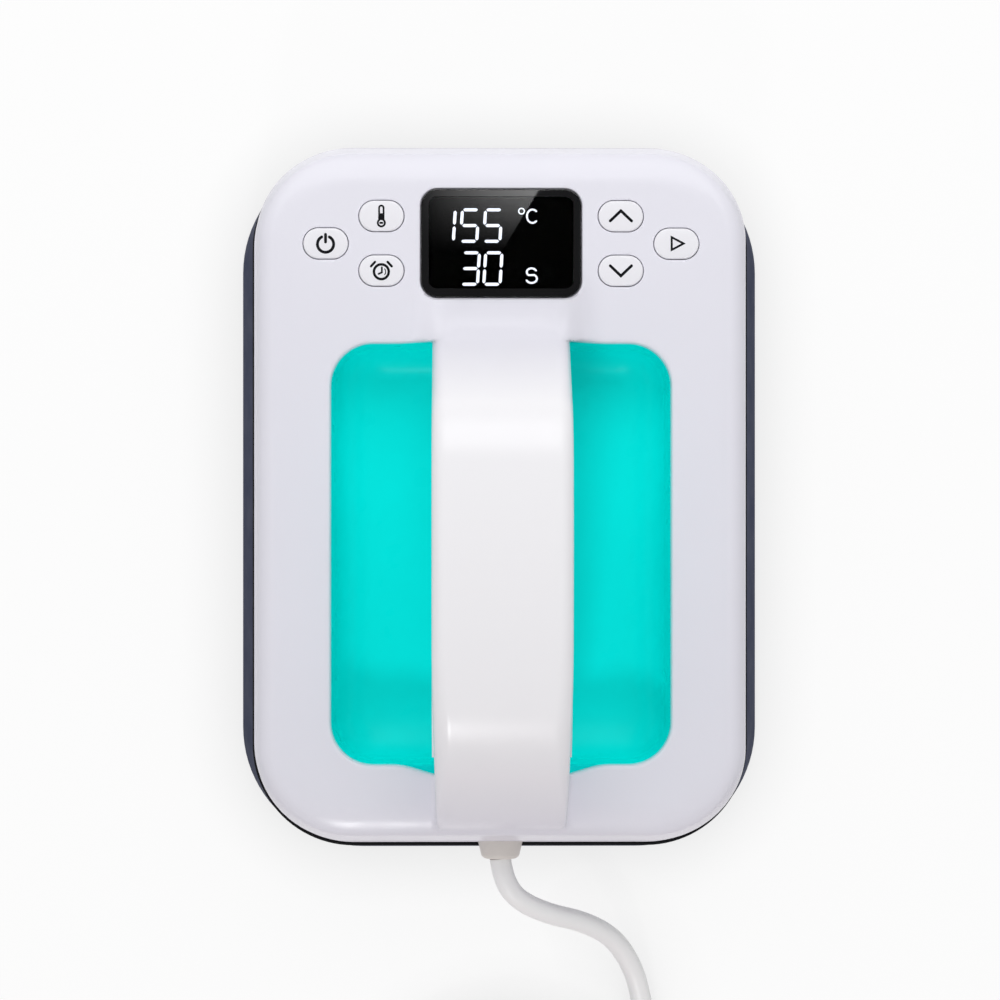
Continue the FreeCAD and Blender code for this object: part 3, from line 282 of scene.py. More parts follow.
def nonStickCoating():  # sprayed non-stick coat on cast aluminium: dark, with an orange peel and pale flecks
    material, tree, shader = newMaterial("nonStickCoating", {"IOR": 1.38, "Metallic": 0.15})
    flecks = addNode(tree, "ShaderNodeTexVoronoi", {"Vector": objectPoint(tree),
                                                    "Scale": 1 / (coatedPlate["fleckSize"] * mm)})
    ramp = addNode(tree, "ShaderNodeValToRGB", {"Fac": flecks.outputs["Distance"]})
    ramp.color_ramp.elements[0].position = 0.10
    ramp.color_ramp.elements[1].position = 0.16
    ramp.color_ramp.elements[0].color = toLinear(coatedPlate["fleck"])
    ramp.color_ramp.elements[1].color = toLinear(coatedPlate["colour"])
    linkSlot(tree, shader, "Base Color", ramp.outputs["Color"])
    roughnessDrift(tree, shader, 0.38, 0.5, 12.0)
    grainBump(tree, shader, coatedPlate["peel"], coatedPlate["peelDepth"])
    return material


solderMask = {"board": "#1f5a38", "shade": "#1b5032", "track": "#2f7a4c", "pitch": 2.54}


def circuitBoard():  # solder mask over copper: green, with paler tracks on a 2.54 mm grid
    material, tree, shader = newMaterial("circuitBoard", {"IOR": 1.5})
    bricks = addNode(tree, "ShaderNodeTexBrick", {
        "Vector": objectPoint(tree), "Scale": 1 / (solderMask["pitch"] * mm),
        "Color1": toLinear(solderMask["board"]), "Color2": toLinear(solderMask["shade"]),
        "Mortar": toLinear(solderMask["track"]), "Mortar Size": 0.06, "Brick Width": 3.0, "Row Height": 0.5})
    linkSlot(tree, shader, "Base Color", bricks.outputs["Color"])
    roughnessDrift(tree, shader, 0.22, 0.32, 6.0)
    bump = addNode(tree, "ShaderNodeBump", {"Height": bricks.outputs["Fac"], "Distance": 0.03 * mm})
    linkSlot(tree, shader, "Normal", bump.outputs["Normal"])
    return material


def smokedAcrylic():  # polished cast acrylic: a mirror-smooth face over the dark display
    material, tree, shader = newMaterial("smokedAcrylic", {"IOR": 1.49, "Transmission Weight": 1.0,
                                                           "Base Color": toLinear("#c9cacc")})
    roughnessDrift(tree, shader, 0.004, 0.010, 14.0)
    grainBump(tree, shader, 9.0, 0.00008)
    return material


def displayMask():  # printed mask behind the lens: dead black, matt
    material, tree, shader = newMaterial("displayMask", {"IOR": 1.4, "Specular IOR Level": 0.1,
                                                         "Base Color": toLinear("#070708")})
    roughnessDrift(tree, shader, 0.75, 0.85, 3.0)
    grainBump(tree, shader, 0.3, 0.004)
    return material


litSegment = {"colour": "#f4f8ff", "edgeColour": "#eef3ff", "strength": 2.0}


def litDigits():  # backlit segments: an even cool white
    material, tree, shader = newMaterial("litDigits", {"Roughness": 0.5,
                                                       "Emission Strength": litSegment["strength"]})
    ramp = tint(tree, shader, litSegment["colour"], litSegment["edgeColour"], 2.0)
    linkSlot(tree, shader, "Emission Color", ramp.outputs["Color"])
    return material


def padPrintInk():  # pad-printed ink: a thin dead black film
    material, tree, shader = newMaterial("padPrintInk", {"IOR": 1.5, "Specular IOR Level": 0.1})
    tint(tree, shader, "#101014", "#16161a", 0.8)
    roughnessDrift(tree, shader, 0.3, 0.4, 1.0)
    grainBump(tree, shader, 0.3, 0.002)
    return material


def borderInk():  # ink under a clear coat: charcoal, as glossy as the lens
    material, tree, shader = newMaterial("borderInk", {"IOR": 1.49, "Specular IOR Level": 1.0})
    tint(tree, shader, "#1d1d1e", "#1c1c1d", 10.0)
    roughnessDrift(tree, shader, 0.010, 0.020, 14.0)
    grainBump(tree, shader, 9.0, 0.0001)
    return material


def fuseGlass():  # drawn soda glass: clear, with a faint green in its body
    material, tree, shader = newMaterial("fuseGlass", {"IOR": 1.5, "Transmission Weight": 1.0,
                                                       "Base Color": toLinear("#eef3f4")})
    roughnessDrift(tree, shader, 0.01, 0.03, 3.0)
    grainBump(tree, shader, 3.0, 0.002)
    return material


finishes = {name: mouldedPlastic(name) for name in plasticValues}
# colour of the painted light on the handle, and the heights in mm where it starts and where it is full
handleLightPaint = {"colour": "#f6f5f8", "low": 54.0, "high": 80.0}


# painted light: the shell's colour turns paler and less blue with height on the handle, standing in for the
# brighter light on its top
def paintHandleLight(material):
    tree = material.node_tree
    shader = tree.nodes["Principled BSDF"]
    plate = shader.inputs["Base Color"].links[0].from_socket
    place = addNode(tree, "ShaderNodeSeparateXYZ", {0: objectPoint(tree)})
    level = addNode(tree, "ShaderNodeMapRange", {
        "Value": place.outputs["Z"], "From Min": handleLightPaint["low"] * mm, "From Max": handleLightPaint["high"] * mm})
    mix = addNode(tree, "ShaderNodeMix", {"Factor": level.outputs["Result"], 6: plate,
                                          7: toLinear(handleLightPaint["colour"])}, data_type="RGBA")
    linkSlot(tree, shader, "Base Color", mix.outputs[2])


# paints the handle's brighter light into the shell's colour
paintHandleLight(finishes["sparkErodedAbs"])
finishes.update({name: platedMetal(name) for name in metalValues})
for makeFinish in (nonStickCoating, circuitBoard, smokedAcrylic, displayMask, litDigits, padPrintInk,
                   borderInk, fuseGlass):
    finishes[makeFinish.__name__] = makeFinish()

slotFinish = {
    "skirt_plastic": "glassFilledPbt", "gasket_rubber": "blackSilicone", "plate_coating": "nonStickCoating",
    "element_steel": "drawnHeaterSteel", "insulation_felt": "ceramicFelt", "sheet_steel": "galvanisedSheet",
    "screw_steel": "zincScrewSteel", "thermostat_body": "phenolicBlack", "sensor_metal": "sensorSteel",
    "shell_abs": "sparkErodedAbs", "cover_abs": "satinAbsCover", "tray_teal": "tealAbs",
    "lens_acrylic": "smokedAcrylic", "display_black": "displayMask", "display_digits": "litDigits",
    "board_green": "circuitBoard", "switch_black": "blackNylon", "relay_blue": "blueRelayCase",
    "transformer_yellow": "yellowTape", "capacitor_yellow": "yellowEpoxyBox",
    "capacitor_black": "blackSleeve", "fuse_glass": "fuseGlass", "buzzer_black": "phenolicBlack",
    "terminal_green": "greenNylon",
    "ribbon_grey": "greyRibbonPvc", "wire_earth": "greenYellowPvc", "wire_blue": "bluePvc",
    "wire_brown": "brownPvc", "lead_white": "glassBraid", "relief_cream": "creamPvc", "cord_pvc": "pvcSheath",
    "clamp_nylon": "naturalNylon", "plug_pvc": "mouldedPvcPlug", "pin_brass": "nickelBrass",
    "button_white": "satinAbsButton",
}

nodeSlot = {part["node"]: part["material_slot"] for part in frame["record"]["subparts"]}
for node, cadObject in frame["nodes"].items():
    cadObject.data.materials.clear()
    cadObject.data.materials.append(finishes[slotFinish[nodeSlot[node]]])
print("materials are on the", len(frame["nodes"]), "carried-over pieces")


# top shell: plate, recess and handle as one smooth skin

shell = {
    "halfWidth": 68.8, "front": -96.3, "back": 99.3, "corner": 27.3, "bottom": 22.7, "top": 50.0,
    "sideDraft": 0.8, "endDraft": 1.5, "wall": 2.6,
    "sideShoulder": 6.0, "endFace": 11.0, "creaseIn": 2.0, "endCurve": 17.8, "endReach": 11.3,
    "creaseSoft": 0.45, "skin": 2.5, "sharpAngle": 62.0,
    "recessHalfWidth": 47.1, "recessFront": -73.3, "recessBack": 43.3, "recessCorner": 11.8,
    "lipBottom": 45.3, "lipWall": 2.0, "lipRadius": 1.1, "backFlare": 0.8, "frontFlare": 3.3,
    "flareZone": (14.0, 30.0),
    "step": 0.75, "quickStep": 1.5,  # distance of the surface points
    "netLow": (-71.0, -99.0, 20.5), "netHigh": (71.0, 102.0, 91.0),
}
handle = {
    "halfWidth": 19.0, "frontTaper": 1.0, "taper": (-92.0, -40.0),
    "peak": -10.7, "top": 88.0, "thickness": 17.0, "crest": 300.0,
    "backTurn": (4.0, 50.0), "backRadius": 24.0, "frontTurn": 8.0,
    "frontSteps": [(300.0, 4.5), (110.0, 12.0), (51.4, 63.5)],
    "backRun": 25.7, "rootTurn": -36.0, "upperTail": 150.0, "underTail": 30.0,
    "underRadius": 30.0, "underFrontTurn": 66.0, "topEdge": 4.3, "underEdge": 3.4, "edgeZone": (-88.0, -66.0),
    "rootRadius": 16.0, "rootBlend": 2.5, "rootSide": 6.5, "frontBlend": 1.2, "frontEdge": 1.6,
    "blendAcross": (11.0, 19.0), "blendAlong": (-60.0, 20.0), "foot": 40.0, "middle": -20.0, "reach": 80.0,
    "coverDepth": 6.0, "coverBackTurn": 24.0, "coverFrontTurn": 34.0, "coverGap": 0.12, "coverEndGap": 0.2,
    "bandHalf": 21.0, "bandBelow": 2.0,
}


# points of an arch in the YZ plane, back to front, from steps of a radius and a turn in degrees
def archLine(peakZ, backSteps, frontSteps, tail):
    sides = []
    for facing, steps, sign in ((0.0, backSteps, -1), (180.0, frontSteps, 1)):
        y, z, heading = handle["peak"], peakZ, facing
        points = [(y, z)]
        for radius, turn in steps:
            if turn == 0:  # a straight run, with its length in place of the radius
                y += radius * math.cos(math.radians(heading))
                z += radius * math.sin(math.radians(heading))
                points.append((y, z))
                continue
            count = max(4, int(abs(turn)))
            for _ in range(count):
                part = math.radians(turn / count) * sign
                chord = 2 * radius * math.sin(abs(part) / 2)  # a negative turn bends back up
                middle = math.radians(heading) + part / 2
                y += chord * math.cos(middle)
                z += chord * math.sin(middle)
                heading += math.degrees(part)
                points.append((y, z))
        y += tail * math.cos(math.radians(heading))
        z += tail * math.sin(math.radians(heading))
        points.append((y, z))
        sides.append(points)
    return list(reversed(sides[0])) + sides[1][1:]


def archTable(points):  # height and slope factor of an arch line, as functions of y
    y = np.array([p[0] for p in reversed(points)])
    z = np.array([p[1] for p in reversed(points)])
    dense = np.linspace(y[0], y[-1], 1600)
    height = np.interp(dense, y, z)
    slope = np.gradient(height, dense)
    kernel = np.hanning(15) / np.hanning(15).sum()
    slope = np.convolve(np.pad(slope, 7, mode="edge"), kernel, mode="valid")
    return dense, height, 1 / np.sqrt(1 + slope ** 2)


underCrest = handle["crest"] - handle["thickness"]
upperTable = archTable(archLine(
    handle["top"], [(handle["crest"], handle["backTurn"][0]), (handle["backRadius"], handle["backTurn"][1]),
                    (handle["backRun"], 0), (handle["rootRadius"], handle["rootTurn"])],
    handle["frontSteps"], handle["upperTail"]))
underTable = archTable(archLine(
    handle["top"] - handle["thickness"],
    [(underCrest, handle["backTurn"][0]), (handle["underRadius"], handle["backTurn"][1])],
    [(underCrest, handle["frontTurn"]), (handle["underRadius"], handle["underFrontTurn"])],
    handle["underTail"]))


def smoothStep(low, high, value):
    share = np.clip((value - low) / (high - low), 0, 1)
    return share * share * (3 - 2 * share)


# distance to a rounded rectangle, and its parts across and along at a corner
def outlineDistance(x, y, front, back, halfWidth, corner):
    centre = (front + back) / 2
    qx = np.abs(x) - (halfWidth - corner)
    qy = np.abs(y - centre) - ((back - front) / 2 - corner)
    outX = np.maximum(qx, 0)
    outY = np.maximum(qy, 0)
    distance = np.sqrt(outX ** 2 + outY ** 2) + np.minimum(np.maximum(qx, qy), 0) - corner
    return distance, outX, outY


def roundMax(a, b, radius):  # both solids at once, with a rounded outer edge
    edge = np.sqrt(np.maximum(a + radius, 0) ** 2 + np.maximum(b + radius, 0) ** 2)
    return np.minimum(np.maximum(a, b), -radius) + edge


def roundMin(a, b, radius):  # either solid, with a fillet in the inner corner
    edge = np.sqrt(np.maximum(radius - a, 0) ** 2 + np.maximum(radius - b, 0) ** 2)
    return np.maximum(np.minimum(a, b), radius) - edge


def handleField(x, y, z):
    yUp, zUp, cUp = upperTable
    above = (z - np.interp(y, yUp, zUp)) * np.interp(y, yUp, cUp)
    yLow, zLow, cLow = underTable
    below = (np.interp(y, yLow, zLow) - z) * np.interp(y, yLow, cLow)
    inSpan = (y > yLow[0]) & (y < yLow[-1])
    below = np.where(inSpan, below, -40.0)  # far inside, where nothing is hollowed below the arch
    side = np.abs(x) - handle["halfWidth"] + handle["frontTaper"] * (1 - smoothStep(*handle["taper"], y))
    edgeShare = smoothStep(*handle["edgeZone"], y)
    edge = handle["frontEdge"] + (handle["topEdge"] - handle["frontEdge"]) * edgeShare
    body = roundMax(above, side, edge)
    body = roundMax(body, below, handle["underEdge"])
    return np.maximum(np.maximum(body, handle["foot"] - z), np.abs(y - handle["middle"]) - handle["reach"])


def recessField(x, y):
    near = 1 - smoothStep(*shell["flareZone"], np.abs(x))
    recessMiddle = (shell["recessFront"] + shell["recessBack"]) / 2
    stretch = np.where(y > recessMiddle, shell["backFlare"], -shell["frontFlare"]) * near
    return outlineDistance(x, y - stretch, shell["recessFront"], shell["recessBack"],
                           shell["recessHalfWidth"], shell["recessCorner"])[0]


def endShoulder(inward):  # how far the top has dropped at the ends: a steep face, a crease and a long curve
    curve = shell["endCurve"]
    arc = curve - np.sqrt(curve ** 2 - np.clip(shell["endReach"] - inward, 0, shell["endReach"]) ** 2)
    atCrease = curve - math.sqrt(curve ** 2 - (shell["endReach"] - shell["creaseIn"]) ** 2)
    face = shell["endFace"] - (shell["endFace"] - atCrease) / shell["creaseIn"] * inward
    return 0.5 * (arc + face + np.sqrt((arc - face) ** 2 + shell["creaseSoft"] ** 2))


def shellField(x, y, z):
    level = (z - shell["bottom"]) / (shell["top"] - shell["bottom"])
    ends = shell["endDraft"] * level
    outside, outX, outY = outlineDistance(x, y, shell["front"], shell["back"], shell["halfWidth"],
                                          shell["corner"])
    endShare = outY ** 2 / np.maximum(outX ** 2 + outY ** 2, 1e-6)
    outside = outside + ends * endShare + shell["sideDraft"] * level * (1 - endShare)
    inward = np.maximum(-outside, 0)
    side = shell["sideShoulder"]
    sideDrop = side * (1 - np.sqrt(np.maximum(1 - np.maximum(1 - inward / side, 0) ** 2, 0)))
    endDrop = endShoulder(inward)
    drop = sideDrop + (endDrop - sideDrop) * endShare
    plate = np.maximum(outside, z - (shell["top"] - drop))
    arch = handleField(x, y, z)
    sideShare = smoothStep(*handle["blendAcross"], np.abs(x))
    blend = handle["rootBlend"] + (handle["rootSide"] - handle["rootBlend"]) * sideShare
    blend = handle["frontBlend"] + (blend - handle["frontBlend"]) * smoothStep(*handle["blendAlong"], y)
    solid = roundMin(plate, arch, blend)
    hole = -recessField(x, y)
    cut = np.minimum(hole, arch)
    radius = shell["lipRadius"] * smoothStep(0.5, 4.0, arch) + 0.001
    solid = roundMax(solid, cut, radius)
    hollow = np.maximum(outside + shell["wall"], z - (shell["top"] - shell["skin"] - drop))
    hollow = np.maximum(hollow, np.minimum(shell["lipWall"] + hole, z - shell["lipBottom"]))
    solid = np.maximum(solid, -hollow)
    return np.maximum(solid, shell["bottom"] - z)


def netSurface(field, low, high, step):  # surface points and quads where the field crosses zero
    axes = [np.arange(a, b + step, step, dtype=np.float32) for a, b in zip(low, high)]
    x, y, z = np.meshgrid(*axes, indexing="ij", sparse=True)
    value = field(x, y, z).astype(np.float32)
    inside = value < 0
    nx, ny, nz = inside.shape
    count = np.zeros((nx - 1, ny - 1, nz - 1), np.int8)
    for i in (0, 1):
        for j in (0, 1):
            for k in (0, 1):
                count += inside[i:nx - 1 + i, j:ny - 1 + j, k:nz - 1 + k]
    active = (count > 0) & (count < 8)
    cell = np.argwhere(active)
    index = np.full(active.shape, -1, np.int64)
    index[active] = np.arange(len(cell))
    total = np.zeros((len(cell), 3))
    hits = np.zeros(len(cell))
    offsets = [(i, j, k) for i in (0, 1) for j in (0, 1) for k in (0, 1)]
    for a in offsets:
        for b in offsets:
            if sum(q - p for p, q in zip(a, b)) != 1 or any(q < p for p, q in zip(a, b)):
                continue
            va = value[cell[:, 0] + a[0], cell[:, 1] + a[1], cell[:, 2] + a[2]]
            vb = value[cell[:, 0] + b[0], cell[:, 1] + b[1], cell[:, 2] + b[2]]
            cross = (va < 0) != (vb < 0)
            share = np.where(cross, va / np.where(cross, va - vb, 1), 0)
            spot = np.array(a) + share[:, None] * (np.array(b) - np.array(a))
            total += np.where(cross[:, None], spot, 0)
            hits += cross
    points = np.array(low) + step * (cell + total / hits[:, None])
    faces = []
    for axis in range(3):
        first = [slice(None)] * 3
        second = [slice(None)] * 3
        first[axis] = slice(0, -1)
        second[axis] = slice(1, None)
        a = inside[tuple(first)]
        b = inside[tuple(second)]
        edges = np.argwhere(a != b)
        u, v = [d for d in range(3) if d != axis]
        limit = np.array(active.shape)
        keep = (edges[:, u] > 0) & (edges[:, v] > 0) & (edges[:, u] < limit[u]) & (edges[:, v] < limit[v])
        edges = edges[keep]
        ring = []
        for du, dv in ((-1, -1), (0, -1), (0, 0), (-1, 0)):
            corner = edges.copy()
            corner[:, u] += du
            corner[:, v] += dv
            ring.append(index[corner[:, 0], corner[:, 1], corner[:, 2]])
        quad = np.stack(ring, 1)
        leaving = a[edges[:, 0], edges[:, 1], edges[:, 2]]
        flip = leaving if axis != 1 else ~leaving
        quad = np.where(flip[:, None], quad, quad[:, ::-1])
        faces.append(quad)
    return points, np.concatenate(faces)


def settleOnField(points, field, rounds=3, reach=0.04):  # moves the points onto the exact surface
    for _ in range(rounds):
        x, y, z = points.T
        value = field(x, y, z)
        slope = np.stack([
            field(x + reach, y, z) - field(x - reach, y, z),
            field(x, y + reach, z) - field(x, y - reach, z),
            field(x, y, z + reach) - field(x, y, z - reach),
        ], 1) / (2 * reach)
        size = np.maximum((slope ** 2).sum(1), 0.05)
        move = -(value / size)[:, None] * slope
        length = np.linalg.norm(move, axis=1, keepdims=True)
        points = points + move * np.minimum(1, 0.35 / np.maximum(length, 1e-6))
    return points


step = shell["step"]
points, quads = netSurface(shellField, shell["netLow"], shell["netHigh"], step)
points = settleOnField(points, shellField)
topShell = meshPiece("top_shell_skin", points.tolist(), quads.tolist(), finishes["sparkErodedAbs"],
                     shell["sharpAngle"])
print("top shell skin has", len(quads), "faces")


# openings in the shell: display pocket, button holes and the handle cover's seat

display = {"centreY": 71.0, "width": 44.4, "length": 30.0, "corner": 4.7, "gap": 0.2, "top": 50.2,
           "thick": 2.2, "windowWidth": 40.0, "windowLength": 26.0, "windowCorner": 2.4,
           "edge": 0.3, "rim": 0.3}
opening = {"above": 56.0, "holeFloor": 44.0, "windowFloor": 40.0, "windowTop": 52.0}  # heights of the cutters
button = {"length": 12.35, "width": 8.45, "gap": 0.23, "rim": 0.10, "top": 50.7, "edge": 0.5, "crown": 0.12,
          "flangeTop": 47.3, "flangeBottom": 46.3, "flange": 0.8, "stem": 1.9, "stemBottom": 44.3}
buttonPlaces = {
    "power": (-48.5, 70.9), "temperature": (-33.1, 78.5), "timer": (-33.1, 63.4),
    "up": (33.1, 78.5), "down": (33.1, 63.4), "start": (48.5, 70.9),
}


def prism(name, outlines):
    piece = loft(name, outlines, finishes["sparkErodedAbs"])
    return turnOutward(piece)


def displayRing(width, length, corner, z):
    return roundedRing(width / 2, display["centreY"] - length / 2, display["centreY"] + length / 2, corner, z)


def ovalRing(place, length, width, z):
    return roundedRing(length / 2, place[1] - width / 2, place[1] + width / 2, width / 2 - 0.001, z, place[0],
                       perCorner=16, perSide=3)


def pocketRing(grow, z):
    return displayRing(display["width"] + grow, display["length"] + grow, display["corner"] + grow / 2, z)


clearance = 2 * display["gap"]
chamfer = clearance + 4 * display["rim"]
pocket = prism("pocket", [
    pocketRing(clearance, display["top"] - display["thick"]),
    pocketRing(clearance, shell["top"] - display["rim"]),
    pocketRing(chamfer, shell["top"] + display["rim"]),
    pocketRing(chamfer, opening["above"])])
cutWith(topShell, pocket)
window = prism("window", [
    displayRing(display["windowWidth"], display["windowLength"], display["windowCorner"], z)
    for z in (opening["windowFloor"], opening["windowTop"])])
cutWith(topShell, window)
for name, place in buttonPlaces.items():
    grow = 2 * button["gap"]
    wide = grow + 4 * button["rim"]
    hole = prism("hole", [
        ovalRing(place, button["length"] + grow, button["width"] + grow, opening["holeFloor"]),
        ovalRing(place, button["length"] + grow, button["width"] + grow, shell["top"] - button["rim"]),
        ovalRing(place, button["length"] + wide, button["width"] + wide, shell["top"] + button["rim"]),
        ovalRing(place, button["length"] + wide, button["width"] + wide, opening["above"])])
    cutWith(topShell, hole)

backEnd = handle["coverBackTurn"] + handle["coverEndGap"]
frontEnd = handle["coverFrontTurn"] + handle["coverEndGap"]


def bandEdge(grow, extra):  # one long edge of the cover's seat, from its back end to its front end
    crest = underCrest + grow
    radius = handle["underRadius"] + grow
    return archLine(handle["top"] - handle["thickness"] + grow + extra,
                    [(crest, handle["backTurn"][0]), (radius, backEnd)],
                    [(crest, handle["frontTurn"]), (radius, frontEnd)], 0.0)


bandUpper = bandEdge(handle["coverDepth"], handle["coverGap"])
bandLower = bandEdge(-handle["bandBelow"], 0.0)
bandLine = bandUpper + list(reversed(bandLower))
bandRings = [[(x, y, z) for y, z in bandLine] for x in (-handle["bandHalf"], handle["bandHalf"])]
cutWith(topShell, prism("band", bandRings))
topShell.data.set_sharp_from_angle(angle=math.radians(shell["sharpAngle"]))
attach(topShell, "press")
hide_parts("top_shell")
print("top shell is cut for the display, the buttons and the handle cover")


# bead along the shell's lower rim

bead = {"proud": 1.00, "low": 22.75, "high": 23.75, "round": 0.4, "nose": 0.3, "inset": 1.0, "above": 0.1,
        "frontShare": 0.85, "backShare": 0.6}  # the bead stands out less at the two ends


def beadRing(grow, z):
    return roundedRing(shell["halfWidth"] + grow, shell["front"] - grow * bead["frontShare"],
                       shell["back"] + grow * bead["backShare"], shell["corner"] + grow, z,
                       perCorner=24, perSide=6)


beadProfile = [(-bead["inset"], bead["low"]), (bead["proud"] - 0.2, bead["low"])]
for degrees in (-45, 0, 30, 60, 90):
    turn = math.radians(degrees)
    beadProfile.append((bead["proud"] - bead["nose"] + bead["nose"] * math.cos(turn),
                        bead["high"] - bead["round"] + bead["round"] * math.sin(turn)))
beadProfile += [(-0.15, bead["high"] + bead["above"]), (-bead["inset"], bead["high"] + bead["above"]),
                (-bead["inset"], bead["low"])]
shellBead = loft("shell_bead", [beadRing(grow, z) for grow, z in beadProfile], finishes["sparkErodedAbs"],
                 closeStart=False, closeEnd=False, sharpAngle=60.0)
mergeDoubles(shellBead)
turnOutward(shellBead)
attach(shellBead, "press")

# the seal's black lip stands out of the seam, most in front
sealLip = {"halfX": 70.3, "front": -98.20, "back": 99.75, "corner": 28.7, "depth": 1.2, "low": 21.8,
           "high": 22.72, "topEdge": 0.15, "lowEdge": 0.3}


def sealRing(inset, z):
    return roundedRing(sealLip["halfX"] - inset, sealLip["front"] + inset, sealLip["back"] - inset,
                       sealLip["corner"] - inset, z, perCorner=24, perSide=6)


sealProfile = [(sealLip["depth"], sealLip["high"]), (sealLip["topEdge"], sealLip["high"]),
               (0.0, sealLip["high"] - sealLip["topEdge"]), (0.0, sealLip["low"] + sealLip["lowEdge"]),
               (sealLip["lowEdge"], sealLip["low"]), (sealLip["depth"], sealLip["low"]),
               (sealLip["depth"], sealLip["high"])]
sealLipPiece = loft("seal_lip", [sealRing(inset, z) for inset, z in sealProfile], finishes["blackSilicone"],
                    closeStart=False, closeEnd=False, sharpAngle=60.0)
mergeDoubles(sealLipPiece)
turnOutward(sealLipPiece)
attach(sealLipPiece, "press")
print("bead and seal lip run round the seam")


# grip tray

tray = {"rimHalf": 47.4, "rimFront": -73.6, "rimBack": 43.6, "rimCorner": 12.1, "rimZ": 45.3,
        "floorHalf": 45.4, "floorFront": -72.0, "floorBack": 41.6, "floorCorner": 10.6, "floorZ": 26.0,
        "fillet": 9.0, "cornerShare": 0.45, "frontSlope": 17.0,
        "wall": 2.2, "flange": 7.0, "flangeThick": 2.2}


def trayRing(share, inset, frontInset, z, grow=0.0):
    half = tray["floorHalf"] + (tray["rimHalf"] - tray["floorHalf"]) * share - inset + grow
    front = tray["floorFront"] + (tray["rimFront"] - tray["floorFront"]) * share + frontInset - grow
    back = tray["floorBack"] + (tray["rimBack"] - tray["floorBack"]) * share - inset + grow
    corner = tray["floorCorner"] + (tray["rimCorner"] - tray["floorCorner"]) * share
    corner = corner - inset * tray["cornerShare"] + grow
    return roundedRing(half, front, back, corner, z, perCorner=18, perSide=10)


def trayInside(grow, drop):
    rings = []
    for z in np.linspace(tray["rimZ"], tray["floorZ"] + tray["fillet"], 6):
        share = (z - tray["floorZ"]) / (tray["rimZ"] - tray["floorZ"])
        rings.append(trayRing(share, 0.0, 0.0, float(z), grow))
    base = tray["fillet"] / (tray["rimZ"] - tray["floorZ"])
    for stage in range(1, 15):
        angle = math.radians(90 * stage / 14)
        z = tray["floorZ"] + tray["fillet"] * (1 - math.sin(angle)) - drop * math.sin(angle)
        inset = tray["fillet"] * (1 - math.cos(angle))
        front = tray["frontSlope"] * (1 - math.cos(angle))
        rings.append(trayRing(base * (1 - math.sin(angle)), inset, front, z, grow))
    return rings


inside = trayInside(0.0, 0.0)
outside = trayInside(tray["wall"], tray["wall"])
outside = [[(x, y, min(z, tray["rimZ"] - tray["flangeThick"])) for x, y, z in ring] for ring in outside]
flangeTop = roundedRing(shell["recessHalfWidth"] + tray["flange"], shell["recessFront"] - tray["flange"],
                        shell["recessBack"] + tray["flange"], shell["recessCorner"] + tray["flange"],
                        tray["rimZ"], perCorner=18, perSide=10)
flangeLow = [(x, y, tray["rimZ"] - tray["flangeThick"]) for x, y, z in flangeTop]
trayRings = list(reversed(inside)) + [flangeTop, flangeLow] + outside
gripTray = loft("grip_tray_skin", trayRings, finishes["tealAbs"])
turnOutward(gripTray)
gripTray.data.set_sharp_from_angle(angle=math.radians(50.0))
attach(gripTray, "press")
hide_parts("grip_tray")
print("grip tray is in the recess")


# ribbons: flat strokes for printed symbols and lit letters

# the same line in short steps, so that a stroke follows the crown of its cap
def shortSteps(line, closed, longest=0.35):
    stops = list(line) + ([line[0]] if closed else [])
    points = []
    for a, b in zip(stops, stops[1:]):
        count = max(1, math.ceil(math.dist(a, b) / longest))
        points += [(a[0] + (b[0] - a[0]) * i / count, a[1] + (b[1] - a[1]) * i / count) for i in range(count)]
    return points if closed else points + [stops[-1]]


# a flat stroke along a line, in mm, with round ends where it is open
def strokeFaces(line, width, low, high, closed=False):
    line = [np.array(p, float) for p in shortSteps(line, closed)]
    count = len(line)
    left, right = [], []
    for i, point in enumerate(line):
        before = line[i - 1] if i > 0 or closed else point
        after = line[(i + 1) % count] if i < count - 1 or closed else point
        along = after - before
        along /= np.linalg.norm(along)
        side = np.array([-along[1], along[0]])
        into = point - before
        widen = 1.0
        if np.linalg.norm(into) > 1e-9:
            into /= np.linalg.norm(into)
            widen = 1 / max(0.5, abs(float(np.dot(side, [-into[1], into[0]]))))
        left.append(point + side * width / 2 * widen)
        right.append(point - side * width / 2 * widen)
    shapes = []
    spans = range(count if closed else count - 1)
    for i in spans:
        j = (i + 1) % count
        shapes.append([left[i], right[i], right[j], left[j]])
    if not closed:
        for end, inner in ((line[0], line[1]), (line[-1], line[-2])):
            away = end - inner
            base = math.atan2(away[1], away[0])
            fan = [end + width / 2 * np.array([math.cos(base + a), math.sin(base + a)])
                   for a in np.linspace(-math.pi / 2, math.pi / 2, 9)]
            shapes.append(fan)
    return [flatSolid(shape, low, high) for shape in shapes]


def flatSolid(outline, low, high):  # points and faces of an outline between two heights
    count = len(outline)
    points = [(p[0], p[1], low) for p in outline] + [(p[0], p[1], high) for p in outline]
    faces = [tuple(reversed(range(count))), tuple(range(count, 2 * count))]
    faces += [(i, (i + 1) % count, (i + 1) % count + count, i + count) for i in range(count)]
    return points, faces


def joinSolids(name, solids, material):
    points, faces = [], []
    for solidPoints, solidFaces in solids:
        base = len(points)
        points += solidPoints
        faces += [tuple(base + i for i in face) for face in solidFaces]
    return turnOutward(meshPiece(name, points, faces, material))


def arcLine(centre, radius, start, end, count=24):
    return [(centre[0] + radius * math.cos(math.radians(a)), centre[1] + radius * math.sin(math.radians(a)))
            for a in np.linspace(start, end, count)]


def stretched(line, centreX, share):  # the same line made wider or narrower about centreX
    return [(centreX + (x - centreX) * share, y) for x, y in line]


# buttons

# widths of the printed strokes, and how far the ink stands over the cap and reaches into it
symbolInk = {"power": 0.8, "tube": 0.50, "tubeHalf": 0.62, "bulb": 0.54, "column": 0.55, "clock": 0.70,
             "bells": 0.66, "hands": 0.5, "tick": 0.28, "chevron": 0.78, "triangle": 0.58,
             "proud": 0.025, "sunk": 0.12}


